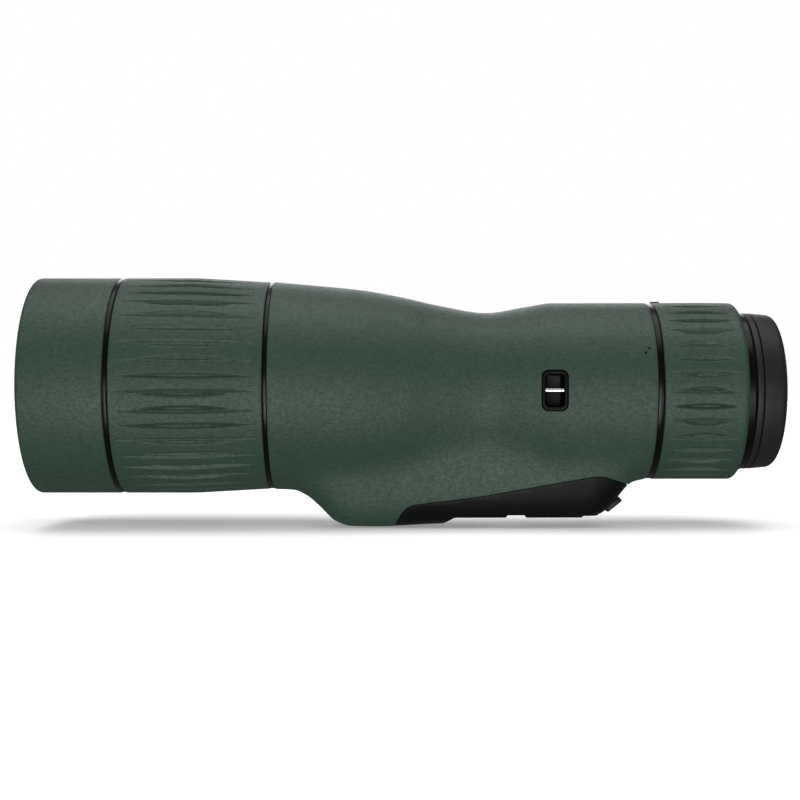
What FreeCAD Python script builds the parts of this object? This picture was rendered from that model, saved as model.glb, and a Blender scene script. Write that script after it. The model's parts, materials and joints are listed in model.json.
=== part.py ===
import FreeCAD, Part
import math
import os

# Straight-view spotting scope with a 56 mm objective, in millimetres.
# The line of sight runs along X: the objective faces -X, the eye is at +X, and +Z is up.
# The origin is the mouth of the tripod thread, in the underside of the foot.

V = FreeCAD.Vector

# ---- driving dimensions ----
FRONT_Z = 44.2            # height of the objective's axis
AXIS_DROP = 1.9           # the eyepiece's axis lies this much lower
BODY_LENGTH = 128.5
BODY_FRONT_X = -82.5      # front face of the body, ahead of the tripod thread
HOOD_LENGTH = 28.5
FOCUS_LENGTH = 50.4
ZOOM_LENGTH = 28.6
FRONT_TRIM = 1.5          # widths of the bright black rings between the rubber grips
REAR_TRIM = 1.4
ZOOM_TRIM = 2.0
END_RING = 2.7
TRIM_SINK = 0.7           # the bright rings lie this much under the rubber
CUP_SLEEVE = 3.5
CUP_RUBBER = 7.0

BARREL_R = 33.2
BARREL_WALL = 2.8
CORE_WALL = 1.65          # metal of the focus ring
GRIP_FRONT = 2.5          # rubber of the focus grip at its front and its rear end
GRIP_REAR = 1.1
TUBE_R = 26.0
TUBE_WALL = 2.4
ZOOM_CORE_WALL = 2.55
ZOOM_GRIP = 2.1
TAIL_R = 22.6             # thin rear end of the eyepiece tube, inside the eyecup
TAIL_WALL = 2.0
CUP_R = 27.1
CUP_END_R = 26.4
CUP_OPENING_R = 20.0

ARMOUR = 1.6              # rubber over the body
SHELL = 2.4               # metal under it
RUN = 0.05                # radial clearance of running fits
GAP = 0.15                # clearance at the ends of turning rings

FOCUS_TRAVEL = 11.0
FOCUS_TURN = 330.0
ZOOM_TURN = 160.0
ZOOM_FRONT_TRAVEL = 6.5
ZOOM_REAR_TRAVEL = 3.5    # towards the objective
CUP_LIFT = 8.0
CUP_TURN = 100.0

WAIST_X = -9.5            # narrowest place of the body
PRISM_SPACE = 1.45        # between the prisms' outermost edge and the metal body
BULGE_DROP = 48.85        # lowest place of the body under the front axis
KEEL_HALF = 20.0          # half width of the keel that carries the foot
KEEL_FLATNESS = 4
BLEND = 10                # how tightly the keel blends into the round body
SECTION_POINTS = 48
SECTION_COUNT = 24

FOOT_Z = -1.0             # rubber underside of the foot
PLATE_HEIGHT = 8.0
PLATE_HALF = 11.0
PLATE_FRONT_X = -17.0
PLATE_REAR_X = 21.0
FOOT_FRONT_X = -22.0
FOOT_REAR_X = 23.0
FOOT_HALF = 16.0
THREAD_R = 3.175          # quarter-inch tripod thread
INSERT_R = 5.5
INSERT_LENGTH = 7.0
TWIST_PIN_R = 2.25
TWIST_PIN_X = -13.0
TWIST_PIN_DEPTH = 5.0

LENS_R = 28.45
LENS_RIM = 0.9            # width of a lens's ground edge
STOP_LIP = 0.85           # how far a ring reaches over a lens
FILTER_R = 30.6
PRISM_SIZE = 20.0         # clear aperture of the prisms
PRISM_X = -36.0
STRAP_X = 12.0
STRAP_WIDTH = 8.75
STRAP_HEIGHT = 13.6
STRAP_FRAME = 1.35
STRAP_DEPTH = 7.0
BAR_R = 0.75

# ---- stations worked out from them ----
PRISM_REACH = 1.06 * PRISM_SIZE   # of the prisms' outermost edge from the axis
WAIST_R = PRISM_REACH + PRISM_SPACE + SHELL + ARMOUR
REAR_Z = FRONT_Z - AXIS_DROP
BODY_REAR_X = BODY_FRONT_X + BODY_LENGTH
FOCUS_REAR_X = BODY_FRONT_X - REAR_TRIM
FOCUS_FRONT_X = FOCUS_REAR_X - FOCUS_LENGTH
HOOD_REAR_X = FOCUS_FRONT_X - FRONT_TRIM
HOOD_FRONT_X = HOOD_REAR_X - HOOD_LENGTH
ZOOM_FRONT_X = BODY_REAR_X + ZOOM_TRIM
ZOOM_REAR_X = ZOOM_FRONT_X + ZOOM_LENGTH
CUP_X = ZOOM_REAR_X + END_RING + 0.2
RUBBER_X = CUP_X + CUP_SLEEVE
REAR_END_X = RUBBER_X + CUP_RUBBER
BARREL_BORE = BARREL_R - BARREL_WALL
CORE_BORE = BARREL_R + RUN
CORE_R = CORE_BORE + CORE_WALL
HOOD_R = CORE_R + GRIP_FRONT
BODY_FRONT_R = CORE_R + GRIP_REAR + 0.1
TUBE_BORE = TUBE_R - TUBE_WALL
ZOOM_BORE = TUBE_R + RUN
ZOOM_CORE_R = ZOOM_BORE + ZOOM_CORE_WALL
ZOOM_R = ZOOM_CORE_R + ZOOM_GRIP
TAIL_BORE = TAIL_R - TAIL_WALL

COLLAR = 8.5              # length of the screwed joint between barrel and body
BARREL_END_X = BODY_FRONT_X + COLLAR
BARREL_START_X = HOOD_REAR_X - 7.2
BULKHEAD = 6.0            # rear wall of the body round the eyepiece tube
TUBE_START_X = BODY_REAR_X - BULKHEAD - 2.0
TAIL_X = ZOOM_REAR_X - 6.1
TUBE_END_X = RUBBER_X + 3.8
FOCUS_PIN_X = FOCUS_REAR_X - 23.1
ZOOM_FRONT_PIN_X = ZOOM_FRONT_X + 2.5
ZOOM_REAR_PIN_X = ZOOM_REAR_X - 10.6
PIN_R = 1.5
ZOOM_PIN_R = 1.25
PIN_GAP = 0.05
GROOVE_DEPTH = 1.1
ZOOM_GROOVE_DEPTH = 1.5


# ---- small helpers ----
def outline(points, place):
    """Closed wire through (u, v) or (u, v, corner radius) points, laid out by place(u, v)."""
    corners = []
    count = len(points)
    for index, point in enumerate(points):
        here = FreeCAD.Vector(point[0], point[1], 0)
        radius = point[2] if len(point) > 2 else 0.0
        before = points[index - 1]
        after = points[(index + 1) % count]
        inward = here - V(before[0], before[1], 0)
        onward = V(after[0], after[1], 0) - here
        inward.normalize()
        onward.normalize()
        if radius == 0.0:
            corners.append((here, None, here))
            continue
        turn = inward.getAngle(onward)
        reach = radius * math.tan(turn / 2)
        bisector = onward - inward
        bisector.normalize()
        middle = here + bisector * (radius / math.cos(turn / 2) - radius)
        corners.append((here - inward * reach, middle, here + onward * reach))
    edges = []
    for index, (start, middle, end) in enumerate(corners):
        previous_end = corners[index - 1][2]
        if (start - previous_end).Length > 1e-6:
            edges.append(Part.makeLine(place(previous_end.x, previous_end.y), place(start.x, start.y)))
        if middle is not None:
            arc = Part.Arc(place(start.x, start.y), place(middle.x, middle.y), place(end.x, end.y))
            edges.append(arc.toShape())
    return Part.Wire(edges)


def turned(points, axis_z):
    """Solid of revolution about the X direction at height axis_z, from (x, radius) points."""
    wire = outline(points, lambda x, r: V(x, 0, axis_z + r))
    return Part.Face(wire).revolve(V(0, 0, axis_z), V(1, 0, 0), 360)


def ring(x0, x1, outer, inner, axis_z):
    return turned([(x0, inner), (x1, inner), (x1, outer), (x0, outer)], axis_z)


def drum(x0, x1, radius, axis_z):
    return Part.makeCylinder(radius, x1 - x0, V(x0, 0, axis_z), V(1, 0, 0))


def block(x0, x1, y0, y1, z0, z1):
    return Part.makeBox(x1 - x0, y1 - y0, z1 - z0, V(x0, y0, z0))


def side_plate(points, half_width):
    """Plate with the given (x, z) outline, across the whole width from -half to +half."""
    face = Part.Face(outline(points, lambda x, z: V(x, -half_width, z)))
    return face.extrude(V(0, 2 * half_width, 0))


def post(radius, x, inner, outer, axis_z):
    """Round pin hanging straight down from the axis, from radius inner to radius outer."""
    return Part.makeCylinder(radius, outer - inner, V(x, 0, axis_z - inner), V(0, 0, -1))


def seal(x, radius, thickness, axis_z):
    return Part.makeTorus(radius, thickness, V(x, 0, axis_z), V(1, 0, 0))


def joined(first, *others):
    return first.fuse(list(others)).removeSplitter()


def sag(surface_radius, reach):
    return surface_radius - math.sqrt(surface_radius ** 2 - reach ** 2)


def lens(x0, x1, radius, front, rear, axis_z):
    """Lens between its rim planes x0 and x1. A positive surface radius bulges out, 0 is flat."""
    reach = radius - LENS_RIM

    def surface(x, bulge, outward):
        if bulge == 0:
            return V(x, 0, axis_z), V(x, 0, axis_z + reach / 2)
        depth = sag(abs(bulge), reach)
        half_depth = depth - sag(abs(bulge), reach / 2)
        sign = outward if bulge > 0 else -outward
        return V(x + sign * depth, 0, axis_z), V(x + sign * half_depth, 0, axis_z + reach / 2)

    front_pole, front_middle = surface(x0, front, -1)
    rear_pole, rear_middle = surface(x1, rear, 1)
    front_edge = V(x0, 0, axis_z + reach)
    rear_edge = V(x1, 0, axis_z + reach)
    front_rim = V(x0, 0, axis_z + radius)
    rear_rim = V(x1, 0, axis_z + radius)
    edges = []
    if front == 0:
        edges.append(Part.makeLine(front_pole, front_edge))
    else:
        edges.append(Part.Arc(front_pole, front_middle, front_edge).toShape())
    edges.append(Part.makeLine(front_edge, front_rim))
    edges.append(Part.makeLine(front_rim, rear_rim))
    edges.append(Part.makeLine(rear_rim, rear_edge))
    if rear == 0:
        edges.append(Part.makeLine(rear_edge, rear_pole))
    else:
        edges.append(Part.Arc(rear_edge, rear_middle, rear_pole).toShape())
    edges.append(Part.makeLine(rear_pole, front_pole))
    face = Part.Face(Part.Wire(edges))
    return face.revolve(V(0, 0, axis_z), V(1, 0, 0), 360)


def slot_cutter(x0, x1, half_width, inner, outer, axis_z):
    """Straight lengthways slot through the bottom of a tube, with round ends."""
    middle = block(x0, x1, -half_width, half_width, axis_z - outer, axis_z - inner)
    ends = [post(half_width, x, inner, outer, axis_z) for x in (x0, x1)]
    return joined(middle, *ends)


def helical_groove(inner, outer, pin_r, travel, turn, x_start, axis_z):
    """Groove that carries a pin from x_start by travel while its tube turns by turn degrees."""
    half_width = pin_r + PIN_GAP
    lead = abs(travel) * 360 / turn
    middle_r = (inner + outer) / 2
    slope = math.atan(lead / (2 * math.pi * middle_r))
    half_axial = half_width / math.cos(slope)
    path = Part.Wire(Part.makeHelix(lead, abs(travel), middle_r, 0, True).Edges)
    corners = [V(r, 0, z) for r, z in ((inner, -half_axial), (outer, -half_axial),
                                       (outer, half_axial), (inner, half_axial))]
    section = Part.makePolygon(corners + corners[:1])
    groove = path.makePipeShell([section], True, True)
    groove.rotate(V(0, 0, 0), V(0, 1, 0), 90)
    if travel < 0:
        groove = groove.mirror(V(0, 0, 0), V(1, 0, 0))
    groove.translate(V(x_start, 0, axis_z))
    start = post(half_width, x_start, inner, outer, axis_z)
    end = post(half_width, x_start + travel, inner, outer, axis_z)
    end.rotate(V(0, 0, axis_z), V(1, 0, 0), -turn)
    return groove, start, end


def cut_all(shape, cutters):
    for cutter in cutters:
        shape = shape.cut(cutter)
    return shape


# ---- the body's outer form ----
def eased(points, x):
    """Smooth curve through (x, value) points that never overshoots them."""
    xs = [p[0] for p in points]
    ys = [p[1] for p in points]
    steps = [(ys[i + 1] - ys[i]) / (xs[i + 1] - xs[i]) for i in range(len(xs) - 1)]
    slopes = [steps[0]]
    for before, after in zip(steps, steps[1:]):
        slopes.append(0.0 if before * after <= 0 else 2 * before * after / (before + after))
    slopes.append(steps[-1])
    if x <= xs[0]:
        return ys[0]
    if x >= xs[-1]:
        return ys[-1]
    index = max(i for i in range(len(xs) - 1) if xs[i] <= x)
    width = xs[index + 1] - xs[index]
    t = (x - xs[index]) / width
    return (ys[index] * (1 + 2 * t) * (1 - t) ** 2 + ys[index + 1] * t * t * (3 - 2 * t)
            + width * (slopes[index] * t * (1 - t) ** 2 - slopes[index + 1] * t * t * (1 - t)))


ROUND = [(BODY_FRONT_X, BODY_FRONT_R), (BODY_FRONT_X + 15.5, BODY_FRONT_R - 1.1),
         (BODY_FRONT_X + 29.5, BODY_FRONT_R - 2.2), (WAIST_X - 29.5, WAIST_R + 5.1),
         (WAIST_X - 15.5, WAIST_R + 2.2), (WAIST_X, WAIST_R), (WAIST_X + 13.5, ZOOM_R - 1.75),
         (WAIST_X + 23.5, ZOOM_R - 0.1), (BODY_REAR_X, ZOOM_R - 0.03)]
KEEL = [(BODY_FRONT_X, BODY_FRONT_R), (BODY_FRONT_X + 6.5, BODY_FRONT_R + 0.3),
        (BODY_FRONT_X + 11.5, BODY_FRONT_R + 2.3), (BODY_FRONT_X + 15.5, BODY_FRONT_R + 5.5),
        (BODY_FRONT_X + 21.5, BULGE_DROP - 1.8), (BODY_FRONT_X + 26.5, BULGE_DROP - 0.2),
        (BODY_FRONT_X + 36, BULGE_DROP), (FOOT_FRONT_X - 3, BULGE_DROP - 0.9),
        (FOOT_REAR_X + 2, BULGE_DROP - 2.0), (FOOT_REAR_X + 8, BULGE_DROP - 5.0),
        (BODY_REAR_X - 5, ZOOM_R + 3.2), (BODY_REAR_X, ZOOM_R + AXIS_DROP)]


def axis_height(x):
    share = (x - BODY_FRONT_X) / (STRAP_X - BODY_FRONT_X)
    return FRONT_Z - AXIS_DROP * min(1.0, max(0.0, share))


def section(x, inset):
    """Closed section of the body at x: a circle with a rounded keel grown out of its bottom."""
    centre = axis_height(x)
    round_r = eased(ROUND, x) - inset
    bottom = max(round_r, centre - FRONT_Z + eased(KEEL, x) - inset)
    keel_height = max(0.01, bottom ** BLEND - round_r ** BLEND) ** (1 / BLEND)
    keel_half = KEEL_HALF - inset
    points = []
    for index in range(SECTION_POINTS):
        angle = 2 * math.pi * index / SECTION_POINTS
        side = math.sin(angle)
        down = math.cos(angle)
        height = keel_height if down > 0 else keel_half
        keel_r = (abs(side / keel_half) ** KEEL_FLATNESS + abs(down / height) ** KEEL_FLATNESS)
        keel_r = keel_r ** (-1 / KEEL_FLATNESS)
        reach = (round_r ** BLEND + keel_r ** BLEND) ** (1 / BLEND)
        points.append(V(x, reach * side, centre - reach * down))
    curve = Part.BSplineCurve()
    curve.interpolate(Points=points, PeriodicFlag=True)
    return Part.Wire(curve.toShape())


def body_form(inset, x0=BODY_FRONT_X, x1=BODY_REAR_X):
    """Solid of the body's form, with its surface moved in by inset."""
    step = (x1 - x0) / (SECTION_COUNT - 1)
    return Part.makeLoft([section(x0 + step * i, inset) for i in range(SECTION_COUNT)], True, False)


# ---- objective ----
CELL_R = CORE_R + 0.3
CELL_FRONT_X = HOOD_FRONT_X + 1.5
SEAT_X = BARREL_START_X + 14.5
SEAT_LIP = 2.0
REAR_LENS_RIM = 4.5
REAR_SPACE = 3.0
MIDDLE_LENS_RIM = 8.0
FRONT_SPACE = 1.0
FRONT_LENS_RIM = 4.0
REAR_LENS_X = SEAT_X - REAR_LENS_RIM
MIDDLE_LENS_X = REAR_LENS_X - REAR_SPACE - MIDDLE_LENS_RIM
FRONT_LENS_X = MIDDLE_LENS_X - FRONT_SPACE - FRONT_LENS_RIM
CELL_BORE = LENS_R + 0.05
RETAINER_X = FRONT_LENS_X - 2.5
SEAL_R = 0.6
SEAL_XS = (BARREL_START_X + 3.5, FOCUS_FRONT_X + 3.5, FOCUS_REAR_X - 3.5)


def objective_armour():
    return turned([(HOOD_FRONT_X, FILTER_R + 3), (CELL_FRONT_X, FILTER_R + 3), (CELL_FRONT_X, CELL_R),
                   (HOOD_REAR_X, CELL_R), (HOOD_REAR_X, HOOD_R, 0.5), (HOOD_FRONT_X, HOOD_R, 1.3)],
                  FRONT_Z)


def objective_cell():
    return turned([(CELL_FRONT_X, FILTER_R), (RETAINER_X - 2.5, FILTER_R), (RETAINER_X - 2.5, CELL_BORE),
                   (SEAT_X, CELL_BORE), (SEAT_X, LENS_R - 1.4), (SEAT_X + SEAT_LIP, LENS_R - 1.4),
                   (SEAT_X + SEAT_LIP, BARREL_BORE), (BARREL_START_X, BARREL_BORE),
                   (BARREL_START_X, BARREL_R), (HOOD_REAR_X, BARREL_R), (HOOD_REAR_X, CELL_R),
                   (CELL_FRONT_X, CELL_R)], FRONT_Z)


def objective_lenses():
    return {
        "objective_front_lens": lens(FRONT_LENS_X, FRONT_LENS_X + FRONT_LENS_RIM, LENS_R, 120, 105,
                                     FRONT_Z),
        "objective_middle_lens": lens(MIDDLE_LENS_X, MIDDLE_LENS_X + MIDDLE_LENS_RIM, LENS_R, -110,
                                      -200, FRONT_Z),
        "objective_rear_lens": lens(REAR_LENS_X, SEAT_X, LENS_R, 95, -160, FRONT_Z),
    }


def objective_spacers():
    rear = ring(REAR_LENS_X - REAR_SPACE, REAR_LENS_X, LENS_R, LENS_R - STOP_LIP, FRONT_Z)
    front = ring(MIDDLE_LENS_X - FRONT_SPACE, MIDDLE_LENS_X, LENS_R, LENS_R - STOP_LIP, FRONT_Z)
    return Part.makeCompound([rear, front])


def objective_retaining_ring():
    body = ring(RETAINER_X, FRONT_LENS_X, CELL_BORE, LENS_R - STOP_LIP, FRONT_Z)
    for side in (-1, 1):
        notch = block(RETAINER_X - 1, RETAINER_X + 1, side * 25.0 - 5, side * 25.0 + 5, FRONT_Z - 1,
                      FRONT_Z + 1)
        body = body.cut(notch)
    return body


def objective_barrel():
    tube = ring(BARREL_START_X, BARREL_END_X, BARREL_R, BARREL_BORE, FRONT_Z)
    half = PIN_R + PIN_GAP
    slot = slot_cutter(FOCUS_PIN_X, FOCUS_PIN_X + FOCUS_TRAVEL, half, BARREL_BORE - 1, BARREL_R + 1,
                       FRONT_Z)
    grooves = [ring(x - 0.8, x + 0.8, BARREL_R + 1, BARREL_R - 2 * SEAL_R, FRONT_Z) for x in SEAL_XS]
    return cut_all(tube, [slot] + grooves)


def front_seals():
    return [seal(x, BARREL_R - SEAL_R, SEAL_R, FRONT_Z) for x in SEAL_XS]


# ---- focusing ----
CARRIAGE_X = FOCUS_PIN_X - 11.0
CARRIAGE_LENGTH = 22.0
CARRIAGE_BORE = 28.2
FOCUS_PIN_INNER = 28.0
FOCUS_LENS_R = 25.15
FOCUS_SEAT_X = CARRIAGE_X + 16.5
FLINT_RIM = 8.0
CROWN_RIM = 2.5
FLINT_X = FOCUS_SEAT_X - FLINT_RIM
CROWN_X = FLINT_X - CROWN_RIM


def focus_ring():
    x0 = FOCUS_FRONT_X + GAP
    x1 = FOCUS_REAR_X - GAP
    tube = ring(x0, x1, CORE_R, CORE_BORE, FRONT_Z)
    groove = helical_groove(CORE_BORE - 0.5, CORE_BORE + GROOVE_DEPTH, PIN_R, FOCUS_TRAVEL, FOCUS_TURN,
                            FOCUS_PIN_X, FRONT_Z)
    return cut_all(tube, groove)


def focus_grip():
    x0 = FOCUS_FRONT_X + GAP
    x1 = FOCUS_REAR_X - GAP
    knee = (x0 + x1) / 2
    return turned([(x0, CORE_R), (x1, CORE_R), (x1, CORE_R + GRIP_REAR, 0.4), (knee, HOOD_R, 60.0),
                   (x0, HOOD_R, 0.5)], FRONT_Z)


def focus_carriage():
    x1 = CARRIAGE_X + CARRIAGE_LENGTH
    outer = BARREL_BORE - RUN
    bore = FOCUS_LENS_R + RUN
    lip_x = FOCUS_SEAT_X + 1.5
    mouth_x = CROWN_X - 2.0
    sleeve = turned([(CARRIAGE_X, outer), (x1, outer), (x1, CARRIAGE_BORE), (lip_x, CARRIAGE_BORE),
                     (lip_x, bore - 1.6), (FOCUS_SEAT_X, bore - 1.6), (FOCUS_SEAT_X, bore),
                     (mouth_x, bore), (mouth_x, CARRIAGE_BORE), (CARRIAGE_X, CARRIAGE_BORE)], FRONT_Z)
    return sleeve.cut(post(PIN_R, FOCUS_PIN_X, FOCUS_PIN_INNER, outer + 1, FRONT_Z))


def focus_pieces():
    return {
        "focus_ring": focus_ring(),
        "focus_grip": focus_grip(),
        "focus_carriage": focus_carriage(),
        "focus_lens_flint": lens(FLINT_X, FOCUS_SEAT_X, FOCUS_LENS_R, -90, -120, FRONT_Z),
        "focus_lens_crown": lens(CROWN_X, FLINT_X, FOCUS_LENS_R, 140, 90, FRONT_Z),
        "focus_lens_retainer": ring(CROWN_X - 1.8, CROWN_X, FOCUS_LENS_R + RUN, FOCUS_LENS_R - STOP_LIP,
                                    FRONT_Z),
        "focus_follower_pin": post(PIN_R, FOCUS_PIN_X, FOCUS_PIN_INNER, CORE_BORE + GROOVE_DEPTH - 0.15,
                                   FRONT_Z),
    }


# ---- foot ----
SEAM = 0.3
FLOOR_Z = PLATE_HEIGHT    # underside of the metal body over the foot
REAR_BOTTOM_Z = REAR_Z - ZOOM_R
NOTCH_X = -3.0            # cross notch in the foot's underside
NOTCH_LENGTH = 7.0
NOTCH_DEPTH = 0.9
SIDE = 60.0               # reach of a cutting tool well past the body
TAPER_TOP_Z = 16.0
PAD_LENGTH = 7.4
PAD_HALF = 9.0
PAD_UP = 1.0              # how far the rear pad stands out of the slope
PAD_SLOPE = math.degrees(math.atan2(8.2, 10.0))


def foot_side(lift):
    """Solid below the line where the green rubber ends and the black foot cover begins."""
    rear_x = BODY_REAR_X - 5.5
    points = [(FOOT_FRONT_X - 27, -20), (FOOT_FRONT_X - 17.7, -5.0 + lift),
              (FOOT_FRONT_X - 10.3, 4.5 + lift, 14.0), (FOOT_REAR_X + 3.5, REAR_BOTTOM_Z + 2.7 + lift, 6.0),
              (rear_x - 1.5, REAR_BOTTOM_Z - 2.7 + lift, 2.0), (rear_x + 6, lift), (rear_x + 6, -20)]
    return side_plate(points, SIDE)


def foot_below():
    """Everything under the foot: its flat underside, cross notch, rear steps and rear slope."""
    slope_top_z = REAR_BOTTOM_Z - 3.1
    step_x = FOOT_REAR_X + 5.5
    points = [(FOOT_FRONT_X - 4, -30), (FOOT_FRONT_X - 4, FOOT_Z - 3.5), (FOOT_FRONT_X + 1.5, FOOT_Z),
              (NOTCH_X, FOOT_Z), (NOTCH_X, FOOT_Z + NOTCH_DEPTH),
              (NOTCH_X + NOTCH_LENGTH, FOOT_Z + NOTCH_DEPTH), (NOTCH_X + NOTCH_LENGTH, FOOT_Z),
              (FOOT_REAR_X, FOOT_Z), (FOOT_REAR_X + 0.5, FOOT_Z + 0.6), (step_x, FOOT_Z + 0.6),
              (step_x + 0.6, FOOT_Z + 1.2), (step_x + 3, FOOT_Z + 1.3), (BODY_REAR_X - 4.5, slope_top_z),
              (BODY_REAR_X + 1, slope_top_z), (BODY_REAR_X + 1, -30)]
    return side_plate(points, SIDE)


def foot_taper():
    """Wedge that narrows the foot towards its underside."""
    deep_z = FOOT_Z - 12
    wide = KEEL_HALF + 1.2
    nose_x = FOOT_FRONT_X + 4
    section_points = [(-FOOT_HALF, deep_z), (FOOT_HALF, deep_z), (FOOT_HALF, FOOT_Z), (wide, TAPER_TOP_Z),
                      (SIDE, TAPER_TOP_Z), (SIDE, SIDE), (-SIDE, SIDE), (-SIDE, TAPER_TOP_Z),
                      (-wide, TAPER_TOP_Z), (-FOOT_HALF, FOOT_Z)]
    wire = outline(section_points, lambda y, z: V(nose_x, y, z))
    middle = Part.Face(wire).extrude(V(BODY_REAR_X - FOOT_FRONT_X, 0, 0))
    nose = block(BODY_FRONT_X - 5, nose_x, -SIDE, SIDE, -SIDE, 2 * SIDE)
    return joined(middle, nose)


def rear_pad():
    """Thin rubber pad on the slope behind the foot."""
    pad = block(0, PAD_LENGTH, -PAD_HALF, PAD_HALF, -PAD_UP - 0.2, PAD_UP)
    pad.rotate(V(0, 0, 0), V(0, 1, 0), -PAD_SLOPE)
    pad.translate(V(FOOT_REAR_X + 9.2, 0, FOOT_Z + 1.9))
    return pad


SCREW_XS = (PLATE_FRONT_X + 8.5, PLATE_REAR_X - 5)
SCREW_Y = 7.0


SCREW_R = 1.5
SCREW_HEAD_R = 2.8
SCREW_HEAD_HEIGHT = 1.6
SCREW_SINK = 0.2          # of a screw head below the plate's underside
SCREW_SOCKET_R = 1.1
SCREW_SOCKET_DEPTH = 1.2


def screw_blank(x, y):
    """Countersunk screw, head down, up into the metal body."""
    head = Part.makeCone(SCREW_HEAD_R, SCREW_R, SCREW_HEAD_HEIGHT, V(x, y, SCREW_SINK))
    return joined(head, Part.makeCylinder(SCREW_R, PLATE_HEIGHT + 2.0, V(x, y, SCREW_SINK)))


def foot_screws():
    screws = []
    for x in SCREW_XS:
        for y in (-SCREW_Y, SCREW_Y):
            socket = Part.makeCylinder(SCREW_SOCKET_R, SCREW_SOCKET_DEPTH, V(x, y, SCREW_SINK))
            screws.append(screw_blank(x, y).cut(socket))
    return screws


def foot_plate(screw_space):
    plate = block(PLATE_FRONT_X, PLATE_REAR_X, -PLATE_HALF, PLATE_HALF, 0, PLATE_HEIGHT)
    holes = [Part.makeCylinder(INSERT_R, PLATE_HEIGHT + 2, V(0, 0, -1)),
             Part.makeCylinder(TWIST_PIN_R, TWIST_PIN_DEPTH + 1, V(TWIST_PIN_X, 0, -1))]
    return cut_all(plate, holes + screw_space)


def screw_space():
    """Room for the foot screws, countersinks open to the underside."""
    space = []
    for x in SCREW_XS:
        for y in (-SCREW_Y, SCREW_Y):
            mouth = Part.makeCylinder(SCREW_HEAD_R, SCREW_SINK + 1, V(x, y, -1))
            space.append(joined(screw_blank(x, y), mouth))
    return space


def tripod_thread_insert():
    body = Part.makeCylinder(INSERT_R, PLATE_HEIGHT, V(0, 0, 0))
    return body.cut(Part.makeCylinder(THREAD_R, INSERT_LENGTH, V(0, 0, 0)))


# ---- prisms ----
CAGE_GAP = 0.1            # between the prisms and the cage's sides
CAGE_WALL = 2.6
CAGE_HALF = PRISM_SIZE / 2 + CAGE_GAP + CAGE_WALL
PRISM_SCALE = PRISM_SIZE / 24
PRISM_LIFT = 1.0          # of the prisms' entry axis over the eyepiece's axis
PRISM_REAR_X = PRISM_X + 30.6 * PRISM_SCALE
CAGE_REAR_X = PRISM_REAR_X + 0.6
CLIP_THICKNESS = 0.5
CAGE_X = PRISM_X - 2.2
CAGE_PLATE = 2.5
RIB = 2.5
RIB_OPENING_R = 21.5
CAGE_SCREW_R = 1.2
CAGE_SCREW_REACH = 23.9


def prism(points):
    """Prism across the cage, from an (x, z) outline drawn for a 24 mm aperture."""
    placed = [(PRISM_X + x * PRISM_SCALE, REAR_Z + PRISM_LIFT + z * PRISM_SCALE) for x, z in points]
    wire = outline(placed, lambda x, z: V(x, -PRISM_SIZE / 2, z))
    return Part.Face(wire).extrude(V(0, PRISM_SIZE, 0))


def half_penta_prism():
    return prism([(0, -12), (29, 17), (24, 21.94), (0, 12)])


def roof_prism():
    """Schmidt prism: its long rear-lower face is a 90 degree roof."""
    left = (0.4, -12.9)
    right_top = (30.6, 17.3)
    right_bottom = (30.6, -25.5)
    blank = prism([left, right_bottom, right_top])
    start, end = [V(PRISM_X + x * PRISM_SCALE, 0, REAR_Z + PRISM_LIFT + z * PRISM_SCALE)
                  for x, z in (left, right_bottom)]
    along = end - start
    along.normalize()
    upward = V(-along.z, 0, along.x)
    if upward.z < 0:
        upward = upward * -1
    reach = 40.0
    corners = [start - along * reach, start - along * reach + upward * reach + V(0, reach, 0),
               start - along * reach + upward * reach - V(0, reach, 0)]
    roof = Part.Face(Part.makePolygon(corners + corners[:1])).extrude(along * 3 * reach)
    return blank.common(roof)


def prism_cage():
    inner = PRISM_SIZE / 2 + CAGE_GAP
    base_z = REAR_Z + PRISM_LIFT - 25.5 * PRISM_SCALE - 0.3
    sides = [block(CAGE_X, CAGE_REAR_X, y, y + CAGE_WALL, base_z - 2.2, REAR_Z + 11) for y in
             (inner, -CAGE_HALF)]
    base = block(CAGE_X, CAGE_REAR_X, -CAGE_HALF, CAGE_HALF, base_z - 2.2, base_z)
    plate_r = eased(ROUND, CAGE_X) - ARMOUR - SHELL - 1.2
    front = drum(CAGE_X - CAGE_PLATE, CAGE_X, plate_r, axis_height(CAGE_X))
    front = front.cut(drum(CAGE_X - CAGE_PLATE - 1, CAGE_X + 1, PRISM_SIZE / 2 + 0.5, REAR_Z + PRISM_LIFT))
    cage = joined(front, base, *sides)
    return cut_all(cage, cage_screw_shanks(CAGE_SCREW_R))


def cage_screw_shanks(radius):
    centre = axis_height(CAGE_X)
    shanks = []
    for quarter in range(4):
        angle = math.radians(45 + 90 * quarter)
        foot = V(CAGE_X - CAGE_PLATE - RIB, CAGE_SCREW_REACH * math.cos(angle),
                 centre + CAGE_SCREW_REACH * math.sin(angle))
        shanks.append(Part.makeCylinder(radius, CAGE_PLATE + RIB, foot, V(1, 0, 0)))
    return shanks


def prism_cage_screws():
    screws = []
    for shank in cage_screw_shanks(CAGE_SCREW_R):
        centre = shank.CenterOfMass
        head = Part.makeCylinder(2.0, 1.4, V(CAGE_X, centre.y, centre.z), V(1, 0, 0))
        socket = Part.makeCylinder(0.9, 0.9, V(CAGE_X + 0.5, centre.y, centre.z), V(1, 0, 0))
        screws.append(joined(shank, head).cut(socket))
    return screws


def prism_clips():
    """Two flat springs across the cage that hold the roof prism's rear face, clear of the light."""
    x1 = CAGE_REAR_X + CLIP_THICKNESS
    lower = block(CAGE_REAR_X, x1, -CAGE_HALF, CAGE_HALF, REAR_Z - 18, REAR_Z - 12)
    upper = block(CAGE_REAR_X, x1, -CAGE_HALF, CAGE_HALF, REAR_Z + 7, REAR_Z + 10.5)
    return Part.makeCompound([lower, upper])


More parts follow.
